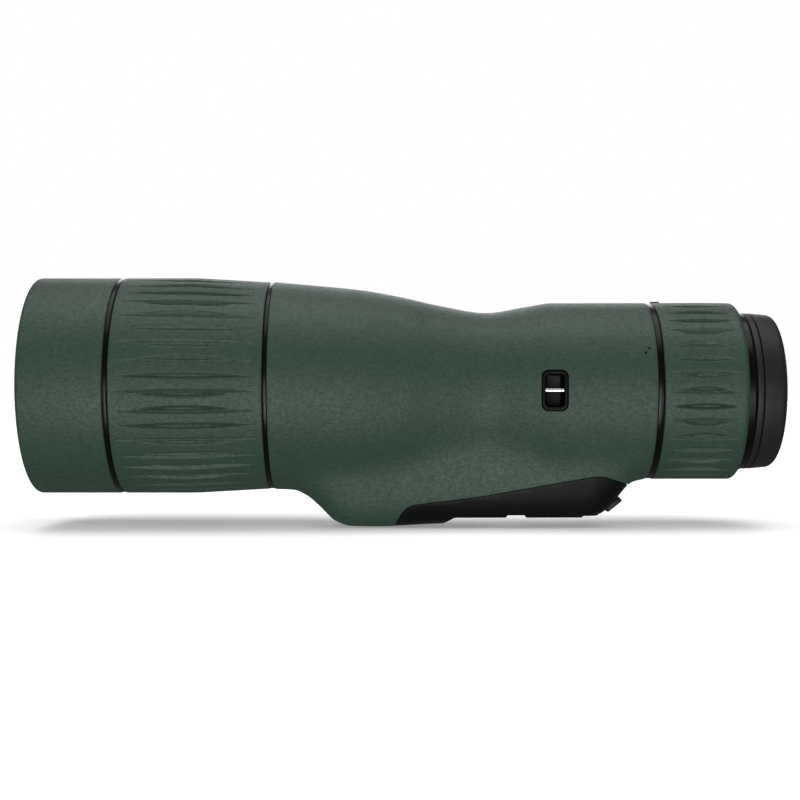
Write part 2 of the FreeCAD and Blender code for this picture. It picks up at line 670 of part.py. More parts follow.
# ---- strap bars ----
STRAP_CORNER = 1.6
STRAP_HOLLOW_CORNER = 0.9
STRAP_BACK = 1.2          # wall behind the pocket's hollow
BAR_DEPTH = 1.7           # of the bar's middle under the body's surface
PURGE_X = -13.0
PURGE_R = 2.0


def strap_block(side, width, height, corner, depth):
    """Rounded block sunk into one side of the body at the strap bar."""
    surface = eased(ROUND, STRAP_X)
    u = width / 2
    v = height / 2
    start = side * (surface + 3)
    wire = outline([(STRAP_X - u, REAR_Z - v, corner), (STRAP_X + u, REAR_Z - v, corner),
                    (STRAP_X + u, REAR_Z + v, corner), (STRAP_X - u, REAR_Z + v, corner)],
                   lambda x, z: V(x, start, z))
    return Part.Face(wire).extrude(V(0, -side * (3 + depth), 0))


def strap_pocket(side, form):
    body = strap_block(side, STRAP_WIDTH, STRAP_HEIGHT, STRAP_CORNER, STRAP_DEPTH).common(form)
    hollow = strap_block(side, STRAP_WIDTH - 2 * STRAP_FRAME, STRAP_HEIGHT - 2 * STRAP_FRAME,
                         STRAP_HOLLOW_CORNER, STRAP_DEPTH - STRAP_BACK)
    return body.cut(hollow).cut(strap_bar(side))


def strap_bar(side):
    length = STRAP_WIDTH - 1.2
    y = side * (eased(ROUND, STRAP_X) - BAR_DEPTH)
    return Part.makeCylinder(BAR_R, length, V(STRAP_X - length / 2, y, REAR_Z), V(1, 0, 0))


# ---- body ----
def purge_screw():
    """Small screw that closes the gas filling hole, in the metal floor over the foot plate."""
    return Part.makeCylinder(PURGE_R, 2.0, V(PURGE_X, 0, FLOOR_Z + 0.4))


def body_pieces():
    outer = body_form(0)
    middle = body_form(ARMOUR)
    inner = body_form(ARMOUR + SHELL)
    far = SIDE
    foot_room = block(FOOT_FRONT_X - 1, BODY_REAR_X + 1, -far, far, -far, FLOOR_Z)
    floor_room = block(FOOT_FRONT_X - 1 - SHELL, BODY_REAR_X + 1, -far, far, -far, FLOOR_Z + SHELL)
    chassis = middle.cut(foot_room)
    rear_slope = side_plate([(FOOT_REAR_X + 4, -40), (FOOT_REAR_X + 4, FLOOR_Z - 1),
                             (BODY_REAR_X - 3, REAR_BOTTOM_Z + 2.9),
                             (BODY_REAR_X + 1, REAR_BOTTOM_Z + 0.4), (BODY_REAR_X + 1, -40)], far)
    chassis = chassis.cut(rear_slope)
    hollow_end = block(BODY_REAR_X - BULKHEAD, BODY_REAR_X + 1, -far, far, -far, 2 * far)
    hollow_front = block(BODY_FRONT_X - 1, BARREL_END_X, -far, far, -far, 2 * far)
    hollow = cut_all(inner, [floor_room, hollow_end, hollow_front])
    rib_x = CAGE_X - CAGE_PLATE - RIB
    rib = block(rib_x, rib_x + RIB, -far, far, -far, 2 * far)
    rib = rib.cut(drum(rib_x - 1, rib_x + RIB + 1, RIB_OPENING_R, axis_height(CAGE_X)))
    hollow = hollow.cut(rib)
    housing = cut_all(chassis, [hollow, drum(BODY_FRONT_X - 1, BARREL_END_X, BARREL_R, FRONT_Z),
                                drum(BARREL_END_X - 0.5, BARREL_END_X + 1, BARREL_BORE, FRONT_Z),
                                drum(BODY_REAR_X - BULKHEAD - 1, BODY_REAR_X + 1, TUBE_R, REAR_Z)])
    housing = cut_all(housing, cage_screw_shanks(CAGE_SCREW_R))
    pockets = [strap_block(side, STRAP_WIDTH, STRAP_HEIGHT, STRAP_CORNER, STRAP_DEPTH) for side in (-1, 1)]
    housing = cut_all(housing, pockets + [purge_screw()] + screw_space())
    covered = outer.cut(middle)
    armour = cut_all(covered, pockets + [foot_side(SEAM)])
    below = foot_below()
    cover = outer.common(foot_side(0)).cut(chassis).common(foot_taper()).cut(below)
    recess = block(PLATE_FRONT_X, PLATE_REAR_X, -PLATE_HALF, PLATE_HALF, -20, PLATE_HEIGHT)
    cover = cut_all(cover, [recess, rear_pad()])
    armour = armour.cut(below)
    return housing, armour, cover, outer


# ---- eyepiece ----
def eyepiece_tube():
    tube = turned([(TUBE_START_X, TUBE_BORE), (TAIL_X - 1.5, TUBE_BORE), (TAIL_X - 1.5, TAIL_BORE),
                   (TUBE_END_X, TAIL_BORE), (TUBE_END_X, TAIL_R), (TAIL_X, TAIL_R), (TAIL_X, TUBE_R),
                   (TUBE_START_X, TUBE_R)], REAR_Z)
    half = ZOOM_PIN_R + PIN_GAP
    slots = [slot_cutter(ZOOM_FRONT_PIN_X, ZOOM_FRONT_PIN_X + ZOOM_FRONT_TRAVEL, half, TUBE_BORE - 1,
                         TUBE_R + 1, REAR_Z),
             slot_cutter(ZOOM_REAR_PIN_X - ZOOM_REAR_TRAVEL, ZOOM_REAR_PIN_X, half, TUBE_BORE - 1,
                         TUBE_R + 1, REAR_Z)]
    cup_groove = helical_groove(TAIL_R - CUP_GROOVE, TAIL_R + 0.5, CUP_PIN_R, CUP_LIFT, CUP_TURN,
                                CUP_PIN_X, REAR_Z)
    cup_groove = [groove.mirror(V(0, 0, 0), V(0, 1, 0)) for groove in cup_groove]
    return cut_all(tube, slots + cup_groove + [key_block(KEY_HALF + RUN, TUBE_END_X + 1)])


LIFT_RING_X = TAIL_X + 5.2
LIFT_RING_LENGTH = 5.7
CUP_SKIRT_R = 25.6
LIFT_RING_R = TAIL_R + 1.0
SHELL_BORE = LIFT_RING_R + RUN
CUP_LIP_R = TAIL_R + 0.3
CUP_PIN_X = TAIL_X + 3.0
CUP_PIN_R = 0.7
CUP_GROOVE = 0.9
KEY_HALF = 1.0
KEY_DEPTH = 0.8


def key_block(half_width, x1):
    """Key at the top of the eyepiece tube's thin end, from the lift ring's place to x1."""
    return block(LIFT_RING_X, x1, -half_width, half_width, REAR_Z + TAIL_R - KEY_DEPTH,
                 REAR_Z + TAIL_R + 0.5)


COUNTERBORE_R = ZOOM_CORE_R - 1.4
COUNTERBORE_DEPTH = 2.5


def zoom_ring():
    x0 = ZOOM_FRONT_X + GAP
    x1 = ZOOM_REAR_X - GAP
    step_x = x1 - COUNTERBORE_DEPTH
    tube = turned([(x0, ZOOM_BORE), (step_x, ZOOM_BORE), (step_x, COUNTERBORE_R), (x1, COUNTERBORE_R),
                   (x1, ZOOM_CORE_R), (x0, ZOOM_CORE_R)], REAR_Z)
    front = helical_groove(ZOOM_BORE - 0.5, ZOOM_BORE + ZOOM_GROOVE_DEPTH, ZOOM_PIN_R,
                           ZOOM_FRONT_TRAVEL, ZOOM_TURN, ZOOM_FRONT_PIN_X, REAR_Z)
    rear = helical_groove(ZOOM_BORE - 0.5, ZOOM_BORE + ZOOM_GROOVE_DEPTH, ZOOM_PIN_R,
                          -ZOOM_REAR_TRAVEL, ZOOM_TURN, ZOOM_REAR_PIN_X, REAR_Z)
    return cut_all(tube, front + rear)


def zoom_grip():
    x0 = ZOOM_FRONT_X + GAP
    x1 = ZOOM_REAR_X - GAP
    return turned([(x0, ZOOM_CORE_R), (x1, ZOOM_CORE_R), (x1, ZOOM_R, 1.6), (x0, ZOOM_R, 0.4)], REAR_Z)


def zoom_end_ring():
    x0 = ZOOM_REAR_X - GAP - COUNTERBORE_DEPTH
    bore = CUP_SKIRT_R + 0.3
    return turned([(x0, bore), (ZOOM_REAR_X + END_RING, bore), (ZOOM_REAR_X + END_RING, CUP_R + 0.3, 0.6),
                   (ZOOM_REAR_X - GAP, CUP_R + 0.3), (ZOOM_REAR_X - GAP, COUNTERBORE_R),
                   (x0, COUNTERBORE_R)], REAR_Z)


ZOOM_CELL_LENGTH = 5.0
ZOOM_LENS_R = 15.0


def zoom_group(name, pin_x, front, rear):
    """Cell with lens, retaining ring and pin, centred on its pin."""
    x0 = pin_x - ZOOM_CELL_LENGTH / 2
    x1 = x0 + ZOOM_CELL_LENGTH
    outer = TUBE_BORE - RUN
    bore = ZOOM_LENS_R + RUN
    cell = turned([(x0, bore), (x1 - 0.8, bore), (x1 - 0.8, bore - 0.8), (x1, bore - 0.8), (x1, outer),
                   (x0, outer)], REAR_Z)
    pin = post(ZOOM_PIN_R, pin_x, TUBE_BORE - 2.6, ZOOM_BORE + ZOOM_GROOVE_DEPTH - 0.15, REAR_Z)
    return {
        name + "_cell": cell.cut(pin),
        name + "_lens": lens(x0 + 1.4, x1 - 0.8, ZOOM_LENS_R, front, rear, REAR_Z),
        name + "_retainer": ring(x0 + 0.2, x0 + 1.4, bore, ZOOM_LENS_R - STOP_LIP, REAR_Z),
        name + "_pin": pin,
    }


EYE_LENS_R = 17.45
EYE_CELL_X = TAIL_X + 1.5


def eye_lens_pieces():
    x0 = EYE_CELL_X
    bore = EYE_LENS_R + RUN
    lip_x = x0 + 1.2
    front_end = lip_x + 2.5
    rear_start = front_end + 5.8
    rear_end = rear_start + 3.0
    cell = turned([(x0, bore - 1.5), (lip_x, bore - 1.5), (lip_x, bore), (TUBE_END_X, bore),
                   (TUBE_END_X, TAIL_BORE), (x0, TAIL_BORE)], REAR_Z)
    return {
        "eye_lens_cell": cell,
        "eye_lens_front": lens(lip_x, front_end, EYE_LENS_R, 0, 60, REAR_Z),
        "eye_lens_spacer": ring(front_end, rear_start, bore, EYE_LENS_R - STOP_LIP, REAR_Z),
        "eye_lens_rear": lens(rear_start, rear_end, EYE_LENS_R, 50, 120, REAR_Z),
        "eye_lens_retainer": ring(rear_end, rear_end + 1.8, bore, EYE_LENS_R - STOP_LIP, REAR_Z),
    }


# ---- eyecup ----
def eyecup_lift_ring():
    body = ring(LIFT_RING_X + 0.1, LIFT_RING_X + LIFT_RING_LENGTH, LIFT_RING_R, TAIL_R + RUN, REAR_Z)
    key = key_block(KEY_HALF, LIFT_RING_X + LIFT_RING_LENGTH)
    key = key.common(drum(LIFT_RING_X + 0.1, LIFT_RING_X + LIFT_RING_LENGTH, LIFT_RING_R - 0.1, REAR_Z))
    key = key.cut(drum(LIFT_RING_X, LIFT_RING_X + LIFT_RING_LENGTH, TAIL_R - KEY_DEPTH + RUN, REAR_Z))
    return joined(body, key)


def eyecup_shell():
    ring_end = LIFT_RING_X + LIFT_RING_LENGTH + 0.1
    end = RUBBER_X + 5.0
    body = turned([(TAIL_X + 1.0, CUP_LIP_R), (LIFT_RING_X, CUP_LIP_R), (LIFT_RING_X, SHELL_BORE),
                   (ring_end, SHELL_BORE), (ring_end, CUP_LIP_R), (end, CUP_LIP_R), (end, CUP_R - 1.1),
                   (RUBBER_X, CUP_R - 1.1), (RUBBER_X, CUP_R, 0.3), (CUP_X, CUP_R, 0.4),
                   (CUP_X, CUP_SKIRT_R), (TAIL_X + 1.0, CUP_SKIRT_R)], REAR_Z)
    return body.cut(eyecup_cam_pin())


def eyecup_cam_pin():
    return post(CUP_PIN_R, CUP_PIN_X, TAIL_R - CUP_GROOVE + 0.1, CUP_SKIRT_R - 0.3, REAR_Z)


def eyecup_rubber():
    shell_end = RUBBER_X + 5.0
    return turned([(RUBBER_X + 0.25, CUP_R - 1.1), (shell_end, CUP_R - 1.1), (shell_end, CUP_OPENING_R),
                   (REAR_END_X, CUP_OPENING_R, 0.8), (REAR_END_X, CUP_END_R, 2.2),
                   (RUBBER_X + 0.25, CUP_R, 0.4)], REAR_Z)


# ---- all nodes ----
def all_nodes():
    housing, armour, cover, form = body_pieces()
    seals = front_seals()
    nodes = {
        "objective_armour": objective_armour(),
        "objective_cell": objective_cell(),
        "objective_spacers": objective_spacers(),
        "objective_retaining_ring": objective_retaining_ring(),
        "objective_seal": seals[0],
        "focus_ring_seals": Part.makeCompound(seals[1:]),
        "objective_barrel": objective_barrel(),
        "barrel_baffle": ring(SEAT_X + 3.5, SEAT_X + 5.0, BARREL_BORE, 25.5, FRONT_Z),
        "front_trim_ring": ring(HOOD_REAR_X, FOCUS_FRONT_X, HOOD_R - TRIM_SINK, BARREL_R, FRONT_Z),
        "rear_trim_ring": ring(FOCUS_REAR_X, BODY_FRONT_X, CORE_R + GRIP_REAR - 0.6, BARREL_R, FRONT_Z),
        "body_housing": housing,
        "body_armour": armour,
        "foot_cover": cover,
        "foot_plate": foot_plate(screw_space()),
        "foot_screws": Part.makeCompound(foot_screws()),
        "foot_rear_pad": rear_pad(),
        "tripod_thread_insert": tripod_thread_insert(),
        "purge_screw": purge_screw(),
        "prism_cage": prism_cage(),
        "prism_cage_screws": Part.makeCompound(prism_cage_screws()),
        "prism_clips": prism_clips(),
        "half_penta_prism": half_penta_prism(),
        "roof_prism": roof_prism(),
        "strap_pocket_near": strap_pocket(-1, form),
        "strap_pocket_far": strap_pocket(1, form),
        "strap_bars": Part.makeCompound([strap_bar(-1), strap_bar(1)]),
        "zoom_trim_ring": ring(BODY_REAR_X, ZOOM_FRONT_X, ZOOM_R - TRIM_SINK, TUBE_R, REAR_Z),
        "eyepiece_tube": eyepiece_tube(),
        "field_stop": ring(TUBE_START_X + 2, TUBE_START_X + 3.5, TUBE_BORE, 10.0, REAR_Z),
        "zoom_ring": zoom_ring(),
        "zoom_grip": zoom_grip(),
        "zoom_end_ring": zoom_end_ring(),
        "eyecup_lift_ring": eyecup_lift_ring(),
        "eyecup_shell": eyecup_shell(),
        "eyecup_cam_pin": eyecup_cam_pin(),
        "eyecup_rubber": eyecup_rubber(),
    }
    nodes.update(objective_lenses())
    nodes.update(focus_pieces())
    nodes.update(zoom_group("zoom_front", ZOOM_FRONT_PIN_X, 40, -60))
    nodes.update(zoom_group("zoom_rear", ZOOM_REAR_PIN_X, -60, 45))
    nodes.update(eye_lens_pieces())
    return nodes


os.makedirs("parts", exist_ok=True)
for name, shape in all_nodes().items():
    shape.exportStep("parts/" + name + ".step")
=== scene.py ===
import json
import math

import bmesh
import bpy
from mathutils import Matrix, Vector


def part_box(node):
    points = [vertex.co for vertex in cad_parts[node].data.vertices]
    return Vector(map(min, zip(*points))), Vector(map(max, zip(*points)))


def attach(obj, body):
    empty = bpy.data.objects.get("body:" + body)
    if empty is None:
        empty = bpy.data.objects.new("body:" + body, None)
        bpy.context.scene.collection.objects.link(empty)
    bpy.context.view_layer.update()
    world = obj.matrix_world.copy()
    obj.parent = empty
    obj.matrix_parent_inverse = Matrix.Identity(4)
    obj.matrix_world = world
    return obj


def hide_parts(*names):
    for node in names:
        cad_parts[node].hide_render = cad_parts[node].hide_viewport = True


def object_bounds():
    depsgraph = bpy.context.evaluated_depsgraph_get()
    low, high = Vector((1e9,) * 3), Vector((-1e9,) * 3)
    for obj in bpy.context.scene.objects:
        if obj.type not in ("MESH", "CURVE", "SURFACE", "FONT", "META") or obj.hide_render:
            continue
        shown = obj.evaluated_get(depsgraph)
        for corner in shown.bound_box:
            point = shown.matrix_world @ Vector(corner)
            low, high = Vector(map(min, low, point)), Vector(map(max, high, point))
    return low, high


# Spotting scope: the visible rubber, plastic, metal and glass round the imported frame.
# Shapes are worked out in millimetres and made into metres when a mesh is built.

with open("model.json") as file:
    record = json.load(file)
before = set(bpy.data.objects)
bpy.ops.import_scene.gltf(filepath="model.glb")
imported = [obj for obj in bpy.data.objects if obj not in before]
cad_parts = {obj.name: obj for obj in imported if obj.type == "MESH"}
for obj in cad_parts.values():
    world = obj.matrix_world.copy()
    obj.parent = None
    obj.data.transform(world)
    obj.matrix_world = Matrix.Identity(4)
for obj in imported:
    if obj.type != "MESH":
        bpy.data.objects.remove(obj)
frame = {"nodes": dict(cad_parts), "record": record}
CAD_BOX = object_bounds()

MM = 0.001


def node_box(node):
    """Lowest and highest corner of a frame node, in millimetres."""
    low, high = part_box(node)
    return [v / MM for v in low], [v / MM for v in high]


def middle_z(node):
    low, high = node_box(node)
    return (low[2] + high[2]) / 2


def x_span(node):
    low, high = node_box(node)
    return low[0], high[0]


# ---- places read from the frame ----
FRONT_Z = middle_z("objective_barrel")
REAR_Z = middle_z("eyepiece_tube")
HOOD_FRONT, HOOD_REAR = x_span("objective_armour")
FOCUS_FRONT, FOCUS_REAR = x_span("focus_ring")
BODY_FRONT, BODY_REAR = x_span("body_housing")
ZOOM_FRONT, ZOOM_REAR = x_span("zoom_ring")
LENS_REAR = x_span("objective_retaining_ring")[1]

# ---- sizes ----
HOOD_R = 37.4
CORE_R = 34.9
FOCUS_REAR_R = 36.0
BODY_FRONT_R = 36.1
ZOOM_R = 30.7
ZOOM_CORE_R = 28.6
CELL_R = 35.2
FILTER_R = 30.6
THREAD_PITCH = 0.75
THREAD_DEPTH = 0.35
BARREL_R = 33.2
TUBE_R = 26.0
CUP_R = 27.1
CUP_END_R = 26.4
CUP_OPENING_R = 20.0
ARMOUR = 1.6
AXIS_DROP = FRONT_Z - REAR_Z

FOCUS_RIBS = 42
ZOOM_RIBS = 36
WAIST_X = -9.5
WAIST_R = 26.65
BULGE_DROP = 48.85
KEEL_HALF = 20.0
KEEL_FLATNESS = 4
BLEND = 10
FOOT_Z = -1.0
FOOT_FRONT = -22.0
FOOT_REAR = 23.0
FOOT_HALF = 16.0
STRAP_X = 12.0
STRAP_WIDTH = 8.75
STRAP_HEIGHT = 13.6
STRAP_RIM = 1.35
STRAP_DEPTH = 7.0

GLASS_BORE_R = 28.5           # bore of the objective cell behind its filter thread
GLASS_SEAT_R = 27.05
CELL_TAIL_R = 30.4
CELL_LAP = 7.2                # length of the cell's rear part that sits over the barrel
CUP_BORE_R = 22.9
CUP_KEYWAY_R = 23.65
CUP_TAIL_R = 25.6
CUP_STEP_R = 26.0
CUP_OVERHANG = 1.6            # how far the soft rim reaches forward of its seat
CUP_LAP = 6.35
SEAM = 0.3                    # open joint between the body's rubber and the foot cover
LEDGE_REACH = 0.25            # how much of that joint is filled lower down
POCKET_CLEARANCE = 0.2
POCKET_CORNER = 2.35
COVER_INSET = 0.12
FOOT_PLATE_CORNER = 1.5
WEDGE_TOP = 16.0
WEDGE_HALF = 21.2
CAVITY_FLOOR = 8.0
PAST = 60.0                   # half size of a cutting tool, past everything it cuts
PAD_LENGTH = 6.4
PAD_HALF = 9.0
PAD_CORNER = 1.2
DOT_R = 0.42


# ---- meshes ----
def new_piece(name, points, faces, material, sharp=35.0):
    """Object at the origin from points in millimetres, smooth but for edges sharper than sharp."""
    mesh = bpy.data.meshes.new(name)
    mesh.from_pydata([(x * MM, y * MM, z * MM) for x, y, z in points], [], faces)
    piece = bpy.data.objects.new(name, mesh)
    bpy.context.scene.collection.objects.link(piece)
    mesh.materials.append(material)
    finish_mesh(piece, sharp)
    return piece


def finish_mesh(piece, sharp=35.0):
    """Turns the faces outwards and marks the hard edges."""
    work = bmesh.new()
    work.from_mesh(piece.data)
    bmesh.ops.remove_doubles(work, verts=work.verts, dist=1e-7)
    bmesh.ops.recalc_face_normals(work, faces=work.faces)
    work.to_mesh(piece.data)
    work.free()
    piece.data.shade_smooth()
    piece.data.set_sharp_from_angle(angle=math.radians(sharp))


def rounded(points, steps=6):
    """Closed outline of (u, v) points from (u, v) or (u, v, corner radius) points."""
    made = []
    count = len(points)
    for index, point in enumerate(points):
        here = Vector(point[:2])
        radius = point[2] if len(point) > 2 else 0.0
        if radius == 0.0:
            made.append(tuple(here))
            continue
        inward = (here - Vector(points[index - 1][:2])).normalized()
        onward = (Vector(points[(index + 1) % count][:2]) - here).normalized()
        turn = inward.angle(onward)
        centre = here + (onward - inward).normalized() * (radius / math.cos(turn / 2))
        start = here - inward * (radius * math.tan(turn / 2)) - centre
        side = 1 if inward.x * onward.y - inward.y * onward.x > 0 else -1
        for step in range(steps + 1):
            angle = side * turn * step / steps
            made.append((centre.x + start.x * math.cos(angle) - start.y * math.sin(angle),
                         centre.y + start.x * math.sin(angle) + start.y * math.cos(angle)))
    return made


def turned(name, profile, axis_z, material, angles=None, sharp=35.0):
    """Ring turned about the line of sight from a closed outline of (x, radius) points."""
    if angles is None:
        angles = [2 * math.pi * i / 256 for i in range(256)]
    points = []
    for angle in angles:
        side, up = math.sin(angle), math.cos(angle)
        points.extend((x, r * side, axis_z + r * up) for x, r in profile)
    return new_piece(name, points, wrapped(len(angles), len(profile)), material, sharp)


def wrapped(rows, columns, closed_rows=True):
    """Faces of a grid whose columns close on themselves, and whose rows may."""
    faces = []
    for row in range(rows if closed_rows else rows - 1):
        near = row * columns
        far = ((row + 1) % rows) * columns
        for column in range(columns):
            after = (column + 1) % columns
            faces.append((near + column, near + after, far + after, far + column))
    return faces


def solid_of_loops(name, loops, material, sharp=35.0, close=False):
    """Skin over equal loops of points, closed round on itself or with a face at each end."""
    count = len(loops[0])
    points = [point for loop in loops for point in loop]
    faces = wrapped(len(loops), count, close)
    if not close:
        faces.append(tuple(range(count)))
        faces.append(tuple(range(len(points) - count, len(points))))
    return new_piece(name, points, faces, material, sharp)


def lens_shape(name, node, front, rear, material, axis_z, rim=0.9):
    """Glass disc that fills a frame node's box, with the given signed surface radii."""
    low, high = node_box(node)
    radius = (high[2] - low[2]) / 2
    reach = radius - rim

    def depth(surface, r):
        if surface == 0 or r > reach:
            return 0.0
        return abs(surface) - math.sqrt(surface * surface - r * r)

    def height(surface, r):
        whole = depth(surface, reach)
        return (whole - depth(surface, r)) * (1 if surface > 0 else -1) if r <= reach else 0.0

    x0 = low[0] + (height(front, 0) if front > 0 else 0)
    x1 = high[0] - (height(rear, 0) if rear > 0 else 0)
    radii = [reach * i / 24 for i in range(1, 25)] + [radius - 0.15]
    profile = [(x0 - height(front, r), r) for r in radii] + [(x0 + 0.15, radius), (x1 - 0.15, radius)]
    profile += [(x1 + height(rear, r), r) for r in reversed(radii)]
    angles = [2 * math.pi * i / 128 for i in range(128)]
    loops = [[(x, r * math.sin(a), axis_z + r * math.cos(a)) for a in angles] for x, r in profile]
    return solid_of_loops(name, loops, material, sharp=25.0)


def carve(piece, tool, operation):
    """Boolean of a piece with a tool, made final."""
    modifier = piece.modifiers.new("carve", "BOOLEAN")
    modifier.operation = operation
    modifier.object = tool
    modifier.solver = "EXACT"
    settle(piece)
    bpy.data.objects.remove(tool)


def settle(piece):
    """Makes a piece's modifiers final."""
    bpy.context.view_layer.update()
    graph = bpy.context.evaluated_depsgraph_get()
    mesh = bpy.data.meshes.new_from_object(piece.evaluated_get(graph))
    old = piece.data
    piece.modifiers.clear()
    piece.data = mesh
    bpy.data.meshes.remove(old)


def soften(piece, width, segments=2, angle=32.0):
    """Rounds a piece's hard edges by width millimetres."""
    modifier = piece.modifiers.new("soften", "BEVEL")
    modifier.width = width * MM
    modifier.segments = segments
    modifier.limit_method = "ANGLE"
    modifier.angle_limit = math.radians(angle)
    modifier.use_clamp_overlap = True
    settle(piece)


def plate(name, outline, half, material):
    """Tool with an (x, z) outline, across y from -half to half."""
    loops = [[(x, y, z) for x, z in outline] for y in (-half, half)]
    return solid_of_loops(name, loops, material)


def bar(name, outline, x0, x1, material):
    """Tool with a (y, z) outline, along x."""
    loops = [[(x, y, z) for y, z in outline] for x in (x0, x1)]
    return solid_of_loops(name, loops, material)


# ---- the body's form ----
def eased(points, x):
    """Smooth curve through (x, value) points that never overshoots them."""
    xs = [p[0] for p in points]
    ys = [p[1] for p in points]
    steps = [(ys[i + 1] - ys[i]) / (xs[i + 1] - xs[i]) for i in range(len(xs) - 1)]
    slopes = [steps[0]]
    for before, after in zip(steps, steps[1:]):
        slopes.append(0.0 if before * after <= 0 else 2 * before * after / (before + after))
    slopes.append(steps[-1])
    if x <= xs[0]:
        return ys[0]
    if x >= xs[-1]:
        return ys[-1]
    index = max(i for i in range(len(xs) - 1) if xs[i] <= x)
    width = xs[index + 1] - xs[index]
    t = (x - xs[index]) / width
    return (ys[index] * (1 + 2 * t) * (1 - t) ** 2 + ys[index + 1] * t * t * (3 - 2 * t)
            + width * (slopes[index] * t * (1 - t) ** 2 - slopes[index + 1] * t * t * (1 - t)))


ROUND = [(BODY_FRONT, BODY_FRONT_R), (BODY_FRONT + 15.5, BODY_FRONT_R - 1.1),
         (BODY_FRONT + 29.5, BODY_FRONT_R - 2.2), (WAIST_X - 29.5, WAIST_R + 5.1),
         (WAIST_X - 15.5, WAIST_R + 2.2), (WAIST_X, WAIST_R), (WAIST_X + 13.5, WAIST_R + 2.3),
         (WAIST_X + 23.5, ZOOM_R - 0.1), (BODY_REAR, ZOOM_R - 0.03)]
KEEL = [(BODY_FRONT, BODY_FRONT_R), (BODY_FRONT + 6.5, BODY_FRONT_R + 0.3),
        (BODY_FRONT + 11.5, BODY_FRONT_R + 2.3), (BODY_FRONT + 15.5, BODY_FRONT_R + 5.5),
        (BODY_FRONT + 21.5, BULGE_DROP - 1.8), (BODY_FRONT + 26.5, BULGE_DROP - 0.2),
        (BODY_FRONT + 36, BULGE_DROP), (FOOT_FRONT - 3, BULGE_DROP - 0.9),
        (FOOT_REAR + 2, BULGE_DROP - 2.0), (FOOT_REAR + 8, BULGE_DROP - 5.0),
        (BODY_REAR - 5, ZOOM_R + 3.2), (BODY_REAR, ZOOM_R + AXIS_DROP)]


def axis_height(x):
    share = (x - BODY_FRONT) / (STRAP_X - BODY_FRONT)
    return FRONT_Z - AXIS_DROP * min(1.0, max(0.0, share))


def section(x, inset, count):
    """Loop of the body at x: a circle with a rounded keel grown out of its bottom."""
    centre = axis_height(x)
    round_r = eased(ROUND, x) - inset
    bottom = max(round_r, centre - FRONT_Z + eased(KEEL, x) - inset)
    keel_height = max(0.01, bottom ** BLEND - round_r ** BLEND) ** (1 / BLEND)
    keel_half = KEEL_HALF - inset
    loop = []
    for index in range(count):
        angle = 2 * math.pi * index / count
        side, down = math.sin(angle), math.cos(angle)
        height = keel_height if down > 0 else keel_half
        keel_r = abs(side / keel_half) ** KEEL_FLATNESS + abs(down / height) ** KEEL_FLATNESS
        keel_r = keel_r ** (-1 / KEEL_FLATNESS)
        reach = (round_r ** BLEND + keel_r ** BLEND) ** (1 / BLEND)
        loop.append((x, reach * side, centre - reach * down))
    return loop


def skin_reach(x, elevation):
    """Distance from the body's axis to its skin, elevation whole degrees above the horizontal."""
    point = section(x, 0, 360)[90 + elevation]
    return math.hypot(point[1], point[2] - axis_height(x))


def spread(start, end, count):
    return [start + (end - start) * i / (count - 1) for i in range(count)]


def foot_side(lift):
    """Outline below the line where the green rubber ends and the black foot cover begins."""
    rear = BODY_REAR - 4.8
    return rounded([(FOOT_FRONT - 29, -20), (FOOT_FRONT - 19.5, -5.0 + lift),
                    (FOOT_FRONT - 15.2, 3.0 + lift, 7.0), (FOOT_FRONT + 9.9, 6.2 + lift, 40.0),
                    (FOOT_REAR + 5.5, 13.5 + lift, 14.0), (rear, 9.3 + lift, 1.0),
                    (rear + 5.3, lift), (rear + 5.3, -20)], 12)


def foot_below():
    """Outline of everything under the foot: flat underside, cross notch, rear steps and slope."""
    notch = -3.0
    return rounded([(FOOT_FRONT - 4, -30), (FOOT_FRONT - 4, FOOT_Z - 3.5), (FOOT_FRONT + 1.5, FOOT_Z, 3.0),
                    (notch, FOOT_Z, 0.5), (notch + 0.6, FOOT_Z + 0.9), (notch + 6.4, FOOT_Z + 0.9),
                    (notch + 7, FOOT_Z, 0.5), (FOOT_REAR, FOOT_Z, 0.4), (FOOT_REAR + 0.5, FOOT_Z + 0.6),
                    (FOOT_REAR + 5.5, FOOT_Z + 0.6, 0.4), (FOOT_REAR + 6.1, FOOT_Z + 1.2),
                    (FOOT_REAR + 8.5, FOOT_Z + 1.3), (BODY_REAR - 4.5, 8.5), (BODY_REAR + 1, 8.5),
                    (BODY_REAR + 1, -30)], 4)


